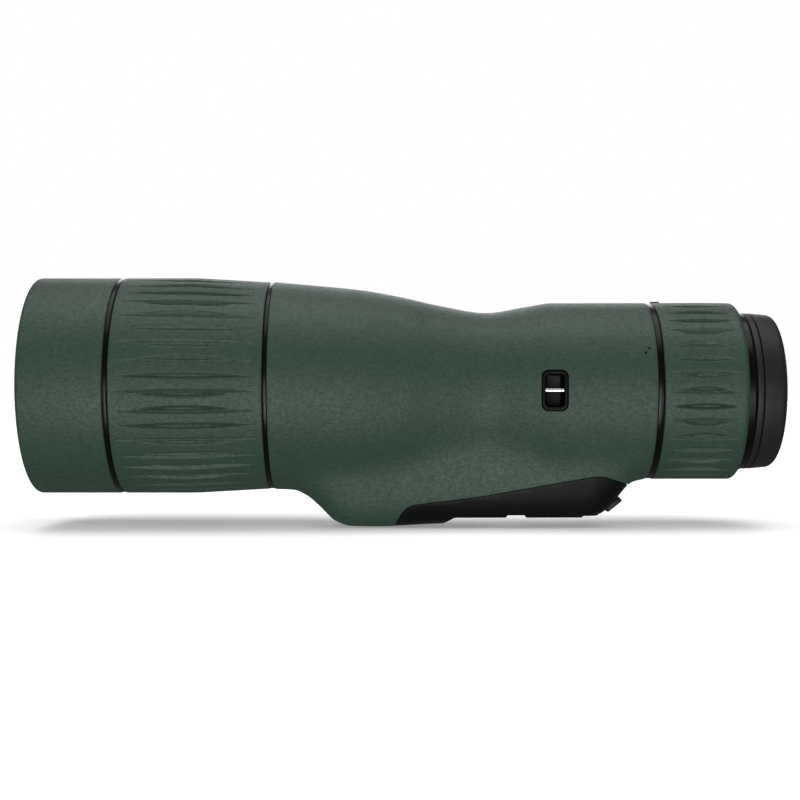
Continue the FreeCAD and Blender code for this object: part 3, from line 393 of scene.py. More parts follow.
# ---- materials ----
class Finish:
    """A material with one surface shader, and short calls for the nodes that feed it."""

    def __init__(self, name, colour, roughness, **sockets):
        self.material = bpy.data.materials.new(name)
        self.material.use_nodes = True
        self.tree = self.material.node_tree
        self.shader = self.tree.nodes["Principled BSDF"]
        self.shader.inputs["Base Color"].default_value = (*colour, 1)
        self.shader.inputs["Roughness"].default_value = roughness
        for socket, value in sockets.items():
            self.shader.inputs[socket.replace("_", " ")].default_value = value
        self.place = self.tree.nodes.new("ShaderNodeTexCoord").outputs["Object"]

    def node(self, kind, **inputs):
        made = self.tree.nodes.new(kind)
        for socket, value in inputs.items():
            target = made.inputs[socket.replace("_", " ")]
            if isinstance(value, bpy.types.NodeSocket):
                self.tree.links.new(value, target)
            else:
                target.default_value = value
        return made

    def noise(self, size, detail=4.0, rough=0.55, stretch=None):
        """Noise whose features are about size millimetres across."""
        place = self.place
        if stretch:
            place = self.node("ShaderNodeMapping", Vector=place, Scale=stretch).outputs["Vector"]
        made = self.node("ShaderNodeTexNoise", Vector=place, Scale=1 / (size * MM), Detail=detail,
                         Roughness=rough)
        return made.outputs["Fac"]

    def cells(self, size):
        made = self.node("ShaderNodeTexVoronoi", Vector=self.place, Scale=1 / (size * MM))
        return made.outputs["Distance"]

    def ramp(self, value, low, high, out_low, out_high):
        made = self.node("ShaderNodeMapRange", Value=value)
        made.inputs["From Min"].default_value = low
        made.inputs["From Max"].default_value = high
        made.inputs["To Min"].default_value = out_low
        made.inputs["To Max"].default_value = out_high
        return made.outputs["Result"]

    def blend(self, share, first, second):
        made = self.tree.nodes.new("ShaderNodeMix")
        made.data_type = "RGBA"
        self.tree.links.new(share, made.inputs["Factor"])
        for socket, colour in (("A", first), ("B", second)):
            target = [s for s in made.inputs if s.name == socket and s.type == "RGBA"][0]
            if isinstance(colour, bpy.types.NodeSocket):
                self.tree.links.new(colour, target)
            else:
                target.default_value = (*colour, 1)
        return [s for s in made.outputs if s.type == "RGBA"][0]

    def add(self, first, second, weight):
        made = self.tree.nodes.new("ShaderNodeMath")
        made.operation = "MULTIPLY_ADD"
        self.tree.links.new(second, made.inputs[0])
        made.inputs[1].default_value = weight
        self.tree.links.new(first, made.inputs[2])
        return made.outputs[0]

    def feed(self, socket, value):
        self.tree.links.new(value, self.shader.inputs[socket])

    def bump(self, height, depth, strength=1.0):
        """Relief of the given depth in millimetres."""
        made = self.node("ShaderNodeBump", Height=height, Distance=depth * MM, Strength=strength)
        self.feed("Normal", made.outputs["Normal"])


def green_rubber():
    """Soft rubber with a fine leathery grain, a little lighter where it is rubbed."""
    finish = Finish("green_armour_rubber", (0.044, 0.094, 0.063), 0.47, Specular_IOR_Level=0.46)
    clouds = finish.ramp(finish.noise(14, 3), 0.35, 0.65, 0.0, 1.0)
    grain = finish.noise(1.0, 5, 0.65, stretch=(0.7, 1.0, 1.0))
    pits = finish.ramp(finish.cells(0.5), 0.0, 0.6, 0.0, 1.0)
    colour = finish.blend(clouds, (0.043, 0.092, 0.062), (0.049, 0.102, 0.07))
    colour = finish.blend(finish.ramp(grain, 0.30, 0.62, 0.0, 1.0), (0.027, 0.062, 0.04), colour)
    finish.feed("Base Color", colour)
    finish.feed("Roughness", finish.ramp(grain, 0.3, 0.7, 0.58, 0.42))
    finish.bump(finish.add(grain, pits, 0.35), 0.16, 0.9)
    return finish.material


def black_rubber():
    """Soft black rubber of the eyecup and of the pad behind the foot."""
    finish = Finish("black_cup_rubber", (0.016, 0.0165, 0.0155), 0.5, Specular_IOR_Level=0.36)
    grain = finish.noise(0.45, 4)
    finish.feed("Base Color", finish.blend(grain, (0.012, 0.0125, 0.0115), (0.02, 0.0205, 0.019)))
    finish.feed("Roughness", finish.ramp(grain, 0.3, 0.7, 0.6, 0.44))
    finish.bump(grain, 0.03, 0.6)
    return finish.material


def black_plastic():
    """Moulded plastic with a fine spark-eroded texture."""
    finish = Finish("moulded_black_plastic", (0.005, 0.0055, 0.0055), 0.42, Specular_IOR_Level=0.13)
    grain = finish.noise(0.35, 4)
    wide = finish.noise(9, 2)
    finish.feed("Base Color", finish.blend(wide, (0.004, 0.0045, 0.0045), (0.0065, 0.007, 0.007)))
    finish.feed("Roughness", finish.ramp(grain, 0.3, 0.7, 0.5, 0.36))
    finish.bump(grain, 0.02, 0.6)
    return finish.material


def gloss_black():
    """Dark glossy anodised rings between the grips."""
    finish = Finish("gloss_black_anodised", (0.003, 0.003, 0.003), 0.3, Specular_IOR_Level=0.2)
    lines = finish.noise(0.12, 3, 0.5, stretch=(1.0, 0.02, 0.02))
    finish.feed("Roughness", finish.ramp(lines, 0.3, 0.7, 0.2, 0.32))
    finish.bump(lines, 0.002, 0.4)
    return finish.material


def black_metal():
    """Matt black anodised metal with fine turning marks."""
    finish = Finish("black_anodised_metal", (0.02, 0.02, 0.02), 0.38, Metallic=0.75)
    marks = finish.noise(0.25, 2, 0.5, stretch=(1.0, 0.05, 0.05))
    finish.feed("Base Color", finish.blend(marks, (0.014, 0.014, 0.015), (0.03, 0.03, 0.031)))
    finish.feed("Roughness", finish.ramp(marks, 0.3, 0.7, 0.3, 0.5))
    finish.bump(marks, 0.01, 0.5)
    return finish.material


def steel():
    finish = Finish("brushed_steel", (0.72, 0.73, 0.74), 0.22, Metallic=1.0)
    lines = finish.noise(0.2, 3, 0.6, stretch=(0.05, 1.0, 1.0))
    finish.feed("Base Color", finish.blend(lines, (0.62, 0.63, 0.64), (0.82, 0.82, 0.83)))
    finish.feed("Roughness", finish.ramp(lines, 0.3, 0.7, 0.16, 0.32))
    finish.bump(lines, 0.004, 0.5)
    return finish.material


def glass(name, tint, film):
    """Coated optical glass: clear, with a thin film that colours its reflection."""
    finish = Finish(name, tint, 0.0, Transmission_Weight=1.0, IOR=1.52, Thin_Film_Thickness=film,
                    Thin_Film_IOR=1.38)
    dust = finish.noise(2.5, 5, 0.7)
    finish.feed("Roughness", finish.ramp(dust, 0.45, 0.75, 0.0, 0.035))
    finish.bump(dust, 0.0006, 0.2)
    return finish.material


GREEN = green_rubber()
RUBBER = black_rubber()
PLASTIC = black_plastic()
GLOSS = gloss_black()
METAL = black_metal()
STEEL = steel()
FRONT_GLASS = glass("coated_objective_glass", (0.93, 0.97, 0.95), 430.0)
INNER_GLASS = glass("coated_inner_glass", (0.96, 0.98, 0.96), 330.0)

SLOT_FINISH = {"armour_rubber": GREEN, "black_rubber": RUBBER, "black_metal": METAL, "gloss_black": GLOSS,
               "black_plastic": PLASTIC, "steel": STEEL, "optical_glass": INNER_GLASS}


def dress_frame():
    """Gives every carried-over node its slot's finish."""
    slots = {part["node"]: part["material_slot"] for part in frame["record"]["subparts"]}
    for node, piece in frame["nodes"].items():
        for index in range(len(piece.material_slots)):
            piece.material_slots[index].link = "DATA"
            piece.material_slots[index].material = SLOT_FINISH[slots[node]]


# ---- Geometry Nodes ----
class Formula:
    """Number field in a node tree, so that a rule reads as plain arithmetic."""

    def __init__(self, tree, socket):
        self.tree = tree
        self.socket = socket

    def _math(self, operation, *others):
        made = self.tree.nodes.new("ShaderNodeMath")
        made.operation = operation
        for index, value in enumerate((self, *others)):
            if isinstance(value, Formula):
                self.tree.links.new(value.socket, made.inputs[index])
            else:
                made.inputs[index].default_value = value
        return Formula(self.tree, made.outputs[0])

    def __add__(self, other):
        return self._math("ADD", other)

    def __sub__(self, other):
        return self._math("SUBTRACT", other)

    def __mul__(self, other):
        return self._math("MULTIPLY", other)

    def __truediv__(self, other):
        return self._math("DIVIDE", other)

    def above(self, other):
        return self._math("GREATER_THAN", other)

    def least(self, other):
        return self._math("MINIMUM", other)

    def most(self, other):
        return self._math("MAXIMUM", other)

    def size(self):
        return self._math("ABSOLUTE")

    def root(self):
        return self._math("SQRT")

    def floor(self):
        return self._math("FLOOR")

    def remainder(self, other):
        return self._math("FLOORED_MODULO", other)

    def turn_from(self, other):
        return self._math("ARCTAN2", other)

    def choose(self, yes, no):
        return self * yes + (self * -1.0 + 1.0) * no


def grooves_tree():
    """Empty groove tree with its named inputs."""
    tree = bpy.data.node_groups.new("finger_grooves", "GeometryNodeTree")
    face = tree.interface
    face.new_socket("Geometry", in_out="INPUT", socket_type="NodeSocketGeometry")
    for name in ("Axis Height", "Middle", "Skin Radius", "Count", "Depth", "Wall", "Long Reach",
                 "Even Reach", "Short Reach", "Wide", "Narrow", "Shift"):
        face.new_socket(name, in_out="INPUT", socket_type="NodeSocketFloat")
    face.new_socket("Rubber", in_out="INPUT", socket_type="NodeSocketMaterial")
    face.new_socket("Geometry", in_out="OUTPUT", socket_type="NodeSocketGeometry")
    return tree


def grip_rule():
    """Node tree that sinks finger grooves into a turned rubber sleeve.

    Round the sleeve the grooves take three kinds in turn: long edge below, long edge above, even.
    """
    tree = grooves_tree()
    given = tree.nodes.new("NodeGroupInput")

    def size(name):
        return Formula(tree, given.outputs[name])

    apart = tree.nodes.new("ShaderNodeSeparateXYZ")
    tree.links.new(tree.nodes.new("GeometryNodeInputPosition").outputs[0], apart.inputs[0])
    along = Formula(tree, apart.outputs["X"]) - size("Middle")
    side = Formula(tree, apart.outputs["Y"])
    up = Formula(tree, apart.outputs["Z"]) - size("Axis Height")
    radius = (side * side + up * up).root()
    turns = side.turn_from(up) / (2 * math.pi) * size("Count") + 0.5
    number = turns.floor()
    across = (turns - number - 0.5) * (2 * math.pi) / size("Count") * radius
    kind = number.remainder(3.0)
    even = kind.above(1.5)
    lean = kind.above(0.5) * 2.0 - 1.0 - even

    def spindle(shift, reach, half_width):
        """Share of the full depth inside one spindle shape."""
        share = along / reach
        border = (share * share * -1.0 + 1.0) * half_width
        return ((border - (across - shift).size()) / size("Wall")).most(0.0).least(1.0)

    long_one = spindle(lean * size("Shift"), even.choose(size("Even Reach"), size("Long Reach")),
                       even.choose(size("Wide"), size("Narrow")))
    short_one = spindle(lean * size("Shift") * -0.6, even.choose(size("Even Reach"), size("Short Reach")),
                        size("Wide"))
    sink = long_one.most(short_one) * size("Depth") * radius.above(size("Skin Radius")) * -1.0
    offset = tree.nodes.new("ShaderNodeCombineXYZ")
    tree.links.new((side / radius * sink).socket, offset.inputs["Y"])
    tree.links.new((up / radius * sink).socket, offset.inputs["Z"])
    move = tree.nodes.new("GeometryNodeSetPosition")
    tree.links.new(given.outputs["Geometry"], move.inputs["Geometry"])
    tree.links.new(offset.outputs[0], move.inputs["Offset"])
    finish_rule(tree, move.outputs[0], given.outputs["Rubber"])
    return tree


def finish_rule(tree, shape, material):
    """Ends a tree with Realize Instances and Set Material."""
    real = tree.nodes.new("GeometryNodeRealizeInstances")
    paint = tree.nodes.new("GeometryNodeSetMaterial")
    tree.links.new(shape, real.inputs[0])
    tree.links.new(real.outputs[0], paint.inputs["Geometry"])
    tree.links.new(material, paint.inputs["Material"])
    result = tree.nodes.new("NodeGroupOutput")
    tree.links.new(paint.outputs[0], result.inputs[0])


def apply_rule(piece, tree, values):
    """Runs a node tree on a piece with the named values, and keeps the result as a plain mesh."""
    modifier = piece.modifiers.new(tree.name, "NODES")
    modifier.node_group = tree
    for item in tree.interface.items_tree:
        if item.name in values and item.in_out == "INPUT":
            modifier[item.identifier] = values[item.name]
    settle(piece)
    piece.data.shade_smooth()
    piece.data.set_sharp_from_angle(angle=math.radians(50))


def rib_angles(count, radius, half_width):
    """Angles round a grip, close together in each groove and wider apart on the crowns."""
    pitch = 2 * math.pi / count
    dense = half_width / radius
    angles = []
    for rib in range(count):
        centre = rib * pitch
        angles.extend(centre + a for a in spread(-dense, dense, 23))
        crown = spread(dense, pitch - dense, 7)[1:-1]
        angles.extend(centre + a for a in crown)
    return angles


def with_stations(profile, x0, x1, count):
    """Adds evenly spaced points to the long outer run of an outline."""
    made = []
    for index, point in enumerate(profile):
        after = profile[(index + 1) % len(profile)]
        made.append(point)
        if abs(after[0] - point[0]) > (x1 - x0) * 0.2 and min(point[1], after[1]) > 0.96 * max(
                p[1] for p in profile):
            steps = max(2, int(count * abs(after[0] - point[0]) / (x1 - x0)))
            for step in range(1, steps):
                share = step / steps
                made.append((point[0] + (after[0] - point[0]) * share,
                             point[1] + (after[1] - point[1]) * share))
    return made


GRIP_RULE = grip_rule()


def focus_grip():
    knee = (FOCUS_FRONT + FOCUS_REAR) / 2
    profile = rounded([(FOCUS_FRONT, CORE_R), (FOCUS_REAR, CORE_R), (FOCUS_REAR, FOCUS_REAR_R, 0.5),
                       (knee, HOOD_R, 60.0), (FOCUS_FRONT, HOOD_R, 0.6)], 8)
    profile = with_stations(profile, FOCUS_FRONT, FOCUS_REAR, 44)
    piece = turned("focus_grip_ribbed", profile, FRONT_Z, GREEN, rib_angles(FOCUS_RIBS, HOOD_R, 1.9))
    apply_rule(piece, GRIP_RULE, {
        "Axis Height": FRONT_Z * MM, "Middle": (knee - 0.3) * MM, "Skin Radius": (CORE_R + 0.6) * MM,
        "Count": float(FOCUS_RIBS), "Depth": 0.9 * MM, "Wall": 1.0 * MM, "Long Reach": 25.0 * MM,
        "Even Reach": 22.5 * MM, "Short Reach": 15.0 * MM, "Wide": 1.25 * MM, "Narrow": 0.85 * MM,
        "Shift": 0.6 * MM, "Rubber": GREEN})
    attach(piece, "focus_ring")
    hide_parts("focus_grip")


def zoom_grip():
    profile = rounded([(ZOOM_FRONT, ZOOM_CORE_R), (ZOOM_REAR, ZOOM_CORE_R), (ZOOM_REAR, ZOOM_R, 1.9),
                       (ZOOM_FRONT, ZOOM_R, 0.6)], 8)
    profile = with_stations(profile, ZOOM_FRONT, ZOOM_REAR, 36)
    piece = turned("zoom_grip_ribbed", profile, REAR_Z, GREEN, rib_angles(ZOOM_RIBS, ZOOM_R, 1.75))
    apply_rule(piece, GRIP_RULE, {
        "Axis Height": REAR_Z * MM, "Middle": (ZOOM_FRONT + 13.7) * MM,
        "Skin Radius": (ZOOM_CORE_R + 0.6) * MM, "Count": float(ZOOM_RIBS), "Depth": 0.85 * MM,
        "Wall": 0.9 * MM, "Long Reach": 12.6 * MM, "Even Reach": 11.0 * MM, "Short Reach": 7.6 * MM,
        "Wide": 1.15 * MM, "Narrow": 0.8 * MM, "Shift": 0.55 * MM, "Rubber": GREEN})
    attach(piece, "zoom_ring")
    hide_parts("zoom_grip")


def zoom_index_nub():
    """Small raised mark on the zoom ring's front edge, found by touch."""
    x0 = ZOOM_FRONT + 0.2
    loops = []
    for rise, shrink in ((-0.4, 0.0), (0.25, 0.0), (0.5, 0.3), (0.55, 0.8)):
        outline = rounded([(x0 + shrink, -1.0 + shrink, 0.2), (x0 + 3.2 - shrink, -1.0 + shrink, 0.2),
                           (x0 + 3.2 - shrink, 1.0 - shrink, 0.2), (x0 + shrink, 1.0 - shrink, 0.2)], 4)
        loops.append([(x, y, REAR_Z + math.sqrt(ZOOM_R ** 2 - y * y) + rise) for x, y in outline])
    piece = solid_of_loops("zoom_index_nub", loops, GREEN, sharp=60)
    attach(piece, "zoom_ring")


def index_dots():
    """Two small black dots in the body's rubber, by the zoom ring's edge."""
    points, faces = [], []
    count = 20
    for elevation, place in ((24, BODY_REAR - 3.8), (27, BODY_REAR - 2.6)):
        skin = skin_reach(place, elevation)
        for side in (-1, 1):
            angle = math.radians(elevation)
            up, out = math.sin(angle), math.cos(angle) * side
            start = len(points)
            for radius, rise in ((DOT_R, -0.3), (DOT_R, 0.05), (DOT_R - 0.08, 0.1)):
                reach = skin + rise
                for step in range(count):
                    turn = 2 * math.pi * step / count
                    u, v = radius * math.cos(turn), radius * math.sin(turn)
                    points.append((place + u, reach * out - v * up * side,
                                   REAR_Z + reach * up + v * math.cos(angle)))
            faces.extend(tuple(start + i for i in face) for face in wrapped(3, count, False))
            faces.append(tuple(range(start, start + count)))
            faces.append(tuple(range(start + 2 * count, start + 3 * count)))
    piece = new_piece("zoom_index_dots", points, faces, PLASTIC)
    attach(piece, "body")


# ---- turned pieces ----
def hood():
    inner = FILTER_R + 3
    profile = rounded([(HOOD_FRONT, inner, 0.4), (HOOD_FRONT + 1.5, inner), (HOOD_FRONT + 1.5, CELL_R),
                       (HOOD_REAR, CELL_R), (HOOD_REAR, HOOD_R, 0.55), (HOOD_FRONT, HOOD_R, 1.4)], 8)
    piece = turned("objective_hood", profile, FRONT_Z, GREEN)
    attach(piece, "body")
    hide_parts("objective_armour")


def trim(name, node, outer, inner, axis_z, body, crown=0.3):
    x0, x1 = x_span(node)
    profile = rounded([(x0, inner), (x1, inner), (x1, outer, crown), (x0, outer, crown)], 5)
    piece = turned(name, profile, axis_z, GLOSS)
    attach(piece, body)
    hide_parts(node)


def objective_cell():
    """Metal cell with the filter thread cut inside its mouth."""
    x0, x1 = x_span("objective_cell")
    seat = x1 - 2.0
    front_lip = LENS_REAR - 5.0
    profile = []
    turns = int((front_lip - x0) / THREAD_PITCH)
    for turn in range(turns):
        base = x0 + turn * THREAD_PITCH
        profile.append((base + 0.05, FILTER_R))
        profile.append((base + THREAD_PITCH / 2, FILTER_R + THREAD_DEPTH))
    profile += [(front_lip, FILTER_R), (front_lip, GLASS_BORE_R), (seat, GLASS_BORE_R),
                (seat, GLASS_SEAT_R), (x1, GLASS_SEAT_R), (x1, CELL_TAIL_R),
                (HOOD_REAR - CELL_LAP, CELL_TAIL_R), (HOOD_REAR - CELL_LAP, BARREL_R),
                (HOOD_REAR, BARREL_R), (HOOD_REAR, CELL_R), (x0, CELL_R), (x0, FILTER_R + 0.4)]
    piece = turned("objective_cell_threaded", profile, FRONT_Z, METAL)
    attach(piece, "body")
    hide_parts("objective_cell")


def lenses():
    shapes = (("front_element", "objective_front_lens", 120, 105, FRONT_GLASS, FRONT_Z),
              ("rear_eye_element", "eye_lens_rear", 50, 120, FRONT_GLASS, REAR_Z),
              ("front_eye_element", "eye_lens_front", 0, 60, INNER_GLASS, REAR_Z))
    for name, node, front, rear, material, axis_z in shapes:
        piece = lens_shape(name, node, front, rear, material, axis_z)
        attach(piece, "body")
        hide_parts(node)


def eyecup_sleeve(seam_x):
    """Hard sleeve from inside the zoom ring back to the soft rim at seam_x."""
    sleeve_x = x_span("zoom_end_ring")[1] + 0.2
    tail_x = x_span("eyecup_shell")[0]
    profile = rounded([(tail_x, CUP_BORE_R), (tail_x + 4.2, CUP_BORE_R), (tail_x + 4.2, CUP_KEYWAY_R),
                       (tail_x + 10.0, CUP_KEYWAY_R), (tail_x + 10.0, CUP_BORE_R),
                       (seam_x + CUP_LAP, CUP_BORE_R), (seam_x + CUP_LAP, CUP_STEP_R),
                       (seam_x, CUP_STEP_R), (seam_x, CUP_R, 0.3), (sleeve_x, CUP_R, 0.4),
                       (sleeve_x, CUP_TAIL_R), (tail_x, CUP_TAIL_R)], 5)
    sleeve = turned("eyecup_sleeve", profile, REAR_Z, RUBBER)
    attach(sleeve, "eyecup")
    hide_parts("eyecup_shell")


def eyecup_rim(seam_x, end_x):
    """Soft rim that the eye socket rests on."""
    front_x = seam_x + 0.25
    lap_x = seam_x + CUP_LAP
    profile = rounded([(front_x, CUP_STEP_R), (lap_x, CUP_STEP_R), (lap_x, CUP_OPENING_R, 0.4),
                       (end_x, CUP_OPENING_R, 1.2), (end_x, CUP_END_R, 2.4), (front_x, CUP_R, 0.4)], 8)
    rubber = turned("eyecup_soft_rim", profile, REAR_Z, RUBBER)
    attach(rubber, "eyecup")
    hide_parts("eyecup_rubber")


def eyecup():
    rubber_x, end_x = x_span("eyecup_rubber")
    eyecup_sleeve(rubber_x - CUP_OVERHANG)
    eyecup_rim(rubber_x - CUP_OVERHANG, end_x)


# ---- body pieces ----
def strap_tool(side):
    """Tool that opens the rubber for one strap pocket, from outside the skin to well within."""
    surface = eased(ROUND, STRAP_X)
    u = (STRAP_WIDTH + POCKET_CLEARANCE) / 2
    v = (STRAP_HEIGHT + POCKET_CLEARANCE) / 2
    outline = rounded([(STRAP_X - u, REAR_Z - v, POCKET_CORNER), (STRAP_X + u, REAR_Z - v, POCKET_CORNER),
                       (STRAP_X + u, REAR_Z + v, POCKET_CORNER), (STRAP_X - u, REAR_Z + v, POCKET_CORNER)],
                      8)
    loops = [[(x, side * (surface + y), z) for x, z in outline] for y in (4, -8)]
    return solid_of_loops("strap_hole", loops, PLASTIC)


def body_armour():
    """Rubber skin over the whole body, cut away for the foot cover and the strap pockets."""
    count = 216
    outer = [section(x, 0, count) for x in spread(BODY_FRONT + 0.35, BODY_REAR - 0.35, 180)]
    front_edge = [section(BODY_FRONT, 0.35, count), section(BODY_FRONT + 0.1, 0.1, count)]
    rear_edge = [section(BODY_REAR - 0.1, 0.1, count), section(BODY_REAR, 0.35, count)]
    inner = [section(x, ARMOUR, count) for x in spread(BODY_REAR, BODY_FRONT, 40)]
    piece = solid_of_loops("body_rubber_skin", front_edge + outer + rear_edge + inner, GREEN, close=True)
    carve(piece, plate("foot_side", foot_side(SEAM), PAST, GREEN), "DIFFERENCE")
    for side in (-1, 1):
        carve(piece, strap_tool(side), "DIFFERENCE")
    soften(piece, 0.3, 2, 40)
    finish_mesh(piece, 45)
    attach(piece, "body")
    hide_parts("body_armour")


def foot_wedge():
    """Tool that narrows the cover to the foot, and leaves it whole ahead of the foot."""
    wedge = [(-FOOT_HALF, FOOT_Z - 12), (FOOT_HALF, FOOT_Z - 12), (FOOT_HALF, FOOT_Z),
             (WEDGE_HALF, WEDGE_TOP), (PAST, WEDGE_TOP), (PAST, PAST), (-PAST, PAST), (-PAST, WEDGE_TOP),
             (-WEDGE_HALF, WEDGE_TOP), (-FOOT_HALF, FOOT_Z)]
    tool = bar("foot_wedge", wedge, FOOT_FRONT + 4, BODY_REAR + 2, PLASTIC)
    whole = [(-PAST, -40), (PAST, -40), (PAST, 90), (-PAST, 90)]
    carve(tool, bar("foot_nose", whole, BODY_FRONT, FOOT_FRONT + 4, PLASTIC), "UNION")
    return tool


def seam_ledge():
    """Sunken ledge under the joint with the body's rubber, so that nothing shows through it."""
    loops = [section(x, ARMOUR / 2, 120) for x in spread(FOOT_FRONT - 32, BODY_REAR - 1.5, 90)]
    ledge = solid_of_loops("seam_ledge", loops, PLASTIC)
    carve(ledge, plate("ledge_side", foot_side(LEDGE_REACH), PAST, PLASTIC), "INTERSECT")
    return ledge


def plate_recess():
    """Tool that opens the cover's underside for the foot plate."""
    low, high = node_box("foot_plate")
    corner = FOOT_PLATE_CORNER
    outline = rounded([(low[0], low[1], corner), (high[0], low[1], corner), (high[0], high[1], corner),
                       (low[0], high[1], corner)], 5)
    return solid_of_loops("plate_recess", [[(x, y, z) for x, y in outline] for z in (-20, high[2])],
                          PLASTIC)


def cover_cavities():
    """Tools that hollow the cover: ahead of the foot, and above the foot's floor."""
    loops = [section(x, ARMOUR, 96) for x in spread(FOOT_FRONT - 34, FOOT_FRONT - 1, 40)]
    front = solid_of_loops("front_cavity", loops, PLASTIC)
    loops = [section(x, ARMOUR, 96) for x in spread(FOOT_FRONT - 1.5, BODY_REAR + 1, 40)]
    rear = solid_of_loops("rear_cavity", loops, PLASTIC)
    above = [(-PAST, CAVITY_FLOOR), (PAST, CAVITY_FLOOR), (PAST, 90), (-PAST, 90)]
    carve(rear, bar("floor", above, FOOT_FRONT - 4, BODY_REAR + 4, PLASTIC), "INTERSECT")
    return front, rear


def foot_cover():
    """Moulded cover under the body, narrowing to the flat foot."""
    loops = [section(x, COVER_INSET, 160) for x in spread(FOOT_FRONT - 33, BODY_REAR - 0.5, 110)]
    piece = solid_of_loops("foot_cover_moulding", loops, PLASTIC)
    carve(piece, plate("foot_side", foot_side(0), PAST, PLASTIC), "INTERSECT")
    carve(piece, foot_wedge(), "INTERSECT")
    carve(piece, seam_ledge(), "UNION")
    carve(piece, plate("foot_below", foot_below(), PAST, PLASTIC), "DIFFERENCE")
    carve(piece, plate_recess(), "DIFFERENCE")
    for cavity in cover_cavities():
        carve(piece, cavity, "DIFFERENCE")
    soften(piece, 0.5, 3, 35)
    finish_mesh(piece, 40)
    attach(piece, "body")
    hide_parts("foot_cover")


def rear_pad():
    """Soft pad on the slope behind the foot."""
    slope = math.atan2(8.2, 10.0)
    loops = []
    for rise, shrink in ((-1.0, 0.0), (0.25, 0.0), (0.45, 0.1), (0.5, 0.35)):
        u1, v1 = PAD_LENGTH - shrink, PAD_HALF - shrink
        outline = rounded([(shrink, -v1, PAD_CORNER), (u1, -v1, PAD_CORNER), (u1, v1, PAD_CORNER),
                           (shrink, v1, PAD_CORNER)], 5)
        loops.append([(FOOT_REAR + 9.2 + u * math.cos(slope) + rise * math.sin(slope), y,
                       FOOT_Z + 1.9 + u * math.sin(slope) - rise * math.cos(slope)) for u, y in outline])
    piece = solid_of_loops("rear_bumper_pad", loops, RUBBER, sharp=50)
    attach(piece, "body")
    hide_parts("foot_rear_pad")


def pocket_loop(side, width, height, corner, depth):
    """Loop round a pocket, following the body's curve near the skin and flat when deep."""
    u, v = width / 2, height / 2
    outline = rounded([(STRAP_X - u, -v, corner), (STRAP_X + u, -v, corner), (STRAP_X + u, v, corner),
                       (STRAP_X - u, v, corner)], 8)
    loop = []
    for x, z in outline:
        surface = math.sqrt(eased(ROUND, x) ** 2 - z * z)
        flat = eased(ROUND, STRAP_X) - depth
        y = flat if depth > 3 else surface - depth
        loop.append((x, side * y, REAR_Z + z))
    return loop


def strap_pockets():
    """Moulded pocket on each side, its rim following the body's curve."""
    width, height = STRAP_WIDTH - 0.1, STRAP_HEIGHT - 0.1
    hollow_w, hollow_h = width - 2 * STRAP_RIM, height - 2 * STRAP_RIM
    floor_depth = STRAP_DEPTH - 1.2
    steps = ((width - 1, height - 1, 1.9, STRAP_DEPTH), (width, height, 2.25, STRAP_DEPTH),
             (width, height, 2.25, 0.6), (width - 0.3, height - 0.3, 2.1, 0.35),
             (width - 0.7, height - 0.7, 1.95, 0.25), (hollow_w + 1.1, hollow_h + 1.1, 1.9, 0.3),
             (hollow_w + 0.45, hollow_h + 0.45, 1.6, 0.45), (hollow_w, hollow_h, 1.4, 0.9),
             (hollow_w, hollow_h, 1.4, floor_depth - 0.8),
             (hollow_w - 0.6, hollow_h - 0.6, 1.1, floor_depth - 0.2),
             (hollow_w - 1.8, hollow_h - 1.8, 0.6, floor_depth))
    for side, word, node in ((-1, "near", "strap_pocket_near"), (1, "far", "strap_pocket_far")):
        loops = [pocket_loop(side, *step) for step in steps]
        piece = solid_of_loops("strap_pocket_" + word, loops, PLASTIC, sharp=50)
        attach(piece, "body")
        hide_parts(node)


def strap_bars():
    """Steel bar across each strap pocket."""
    low, high = node_box("strap_bars")
    radius = (high[2] - low[2]) / 2
    y = high[1] - radius
    reach = STRAP_WIDTH / 2 - STRAP_RIM + 0.1
    x0, x1 = STRAP_X - reach, STRAP_X + reach
    count = 48
    chamfer = 0.1
    angles = [2 * math.pi * i / count for i in range(count)]
    rings = ((x0, radius - chamfer), (x0 + chamfer, radius), (x1 - chamfer, radius), (x1, radius - chamfer))
    points, faces = [], []
    for side in (-1, 1):
        start = len(points)
        for x, r in rings:
            points.extend((x, side * y + r * math.sin(a), REAR_Z + r * math.cos(a)) for a in angles)
        faces.extend(tuple(start + i for i in face) for face in wrapped(len(rings), count, False))
        last = start + (len(rings) - 1) * count
        faces.append(tuple(range(start, start + count)))
        faces.append(tuple(range(last, last + count)))
    piece = new_piece("strap_bar_pins", points, faces, STEEL)
    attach(piece, "body")
    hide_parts("strap_bars")


# ---- stage ----
def stage():
    """White paper floor that lights nothing itself, so that the studio's lamps alone shape the object."""
    floor_z = CAD_BOX[0][2]
    reach = 60.0
    mesh = bpy.data.meshes.new("floor")
    mesh.from_pydata([(-reach, -reach, floor_z), (reach, -reach, floor_z), (reach, reach, floor_z),
                      (-reach, reach, floor_z)], [], [(0, 1, 2, 3)])
    floor = bpy.data.objects.new("floor", mesh)
    bpy.context.scene.collection.objects.link(floor)
    paper = Finish("white_paper_floor", (0.9, 0.9, 0.9), 0.95, Specular_IOR_Level=0.0,
                   Emission_Color=(1, 1, 1, 1), Emission_Strength=0.27)
    mesh.materials.append(paper.material)
    floor.visible_diffuse = False
    floor.visible_glossy = False
    floor.visible_transmission = False
    floor.visible_shadow = False


def soft_light(name, elevation, strength, spread_angle, only=None):
    """Wide soft light from elevation degrees above the horizon, 0 in front and 180 behind."""
    light = bpy.data.lights.new(name, "SUN")
    light.energy = strength * math.pi
    light.angle = math.radians(spread_angle)
    holder = bpy.data.objects.new(name, light)
    holder.rotation_euler = (math.radians(90 - elevation), 0, 0)
    bpy.context.scene.collection.objects.link(holder)
    if only:
        receivers = bpy.data.collections.new(name + "_receivers")
        receivers.objects.link(only)
        holder.light_linking.receiver_collection = receivers


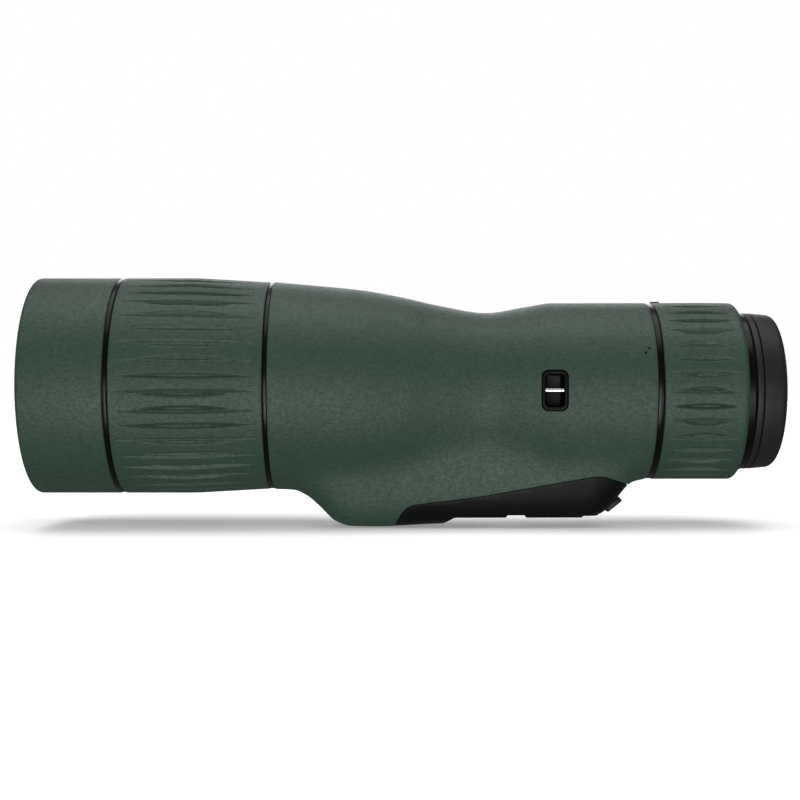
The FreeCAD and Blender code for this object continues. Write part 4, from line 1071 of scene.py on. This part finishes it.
def studio():
    soft_light("overhead", 90, 0.45, 60)
    soft_light("low_front", -30, 0.22, 22)
    soft_light("level_front", -10, 0.28, 30)
    soft_light("back", 163, 0.28, 40)
    soft_light("floor_glow", 66, 0.46, 90, bpy.data.objects["floor"])
    world = bpy.data.worlds.new("studio")
    bpy.context.scene.world = world
    world.use_nodes = True
    tree = world.node_tree
    seen = tree.nodes["Background"]
    seen.inputs["Color"].default_value = (1, 1, 1, 1)
    seen.inputs["Strength"].default_value = 1.0
    lit = tree.nodes.new("ShaderNodeBackground")
    lit.inputs["Color"].default_value = (1, 1, 1, 1)
    lit.inputs["Strength"].default_value = 0.12
    path = tree.nodes.new("ShaderNodeLightPath")
    mix = tree.nodes.new("ShaderNodeMixShader")
    tree.links.new(path.outputs["Is Camera Ray"], mix.inputs[0])
    tree.links.new(lit.outputs[0], mix.inputs[1])
    tree.links.new(seen.outputs[0], mix.inputs[2])
    tree.links.new(mix.outputs[0], tree.nodes["World Output"].inputs["Surface"])
    bpy.context.scene.view_settings.view_transform = "Standard"


def camera():
    """Level side view from half a metre."""
    distance = 0.5
    lens = bpy.data.cameras.new("camera")
    lens.sensor_width = 36
    lens.lens = 64.3
    lens.clip_start = 0.01
    holder = bpy.data.objects.new("camera", lens)
    holder.location = ((CAD_BOX[0][0] + CAD_BOX[1][0]) / 2 - 0.0019, -distance, (FRONT_Z - 5.05) * MM)
    holder.rotation_euler = (math.radians(90), 0, 0)
    bpy.context.scene.collection.objects.link(holder)
    bpy.context.scene.camera = holder


dress_frame()
hood()
focus_grip()
zoom_grip()
zoom_index_nub()
index_dots()
trim("front_trim_band", "front_trim_ring", HOOD_R - 0.2, BARREL_R, FRONT_Z, "body")
trim("rear_trim_band", "rear_trim_ring", FOCUS_REAR_R - 0.15, BARREL_R, FRONT_Z, "body")
trim("zoom_trim_band", "zoom_trim_ring", ZOOM_R - 0.2, TUBE_R, REAR_Z, "body")
objective_cell()
lenses()
eyecup()
body_armour()
foot_cover()
rear_pad()
strap_pockets()
strap_bars()
stage()
studio()
camera()

bpy.context.view_layer.update()
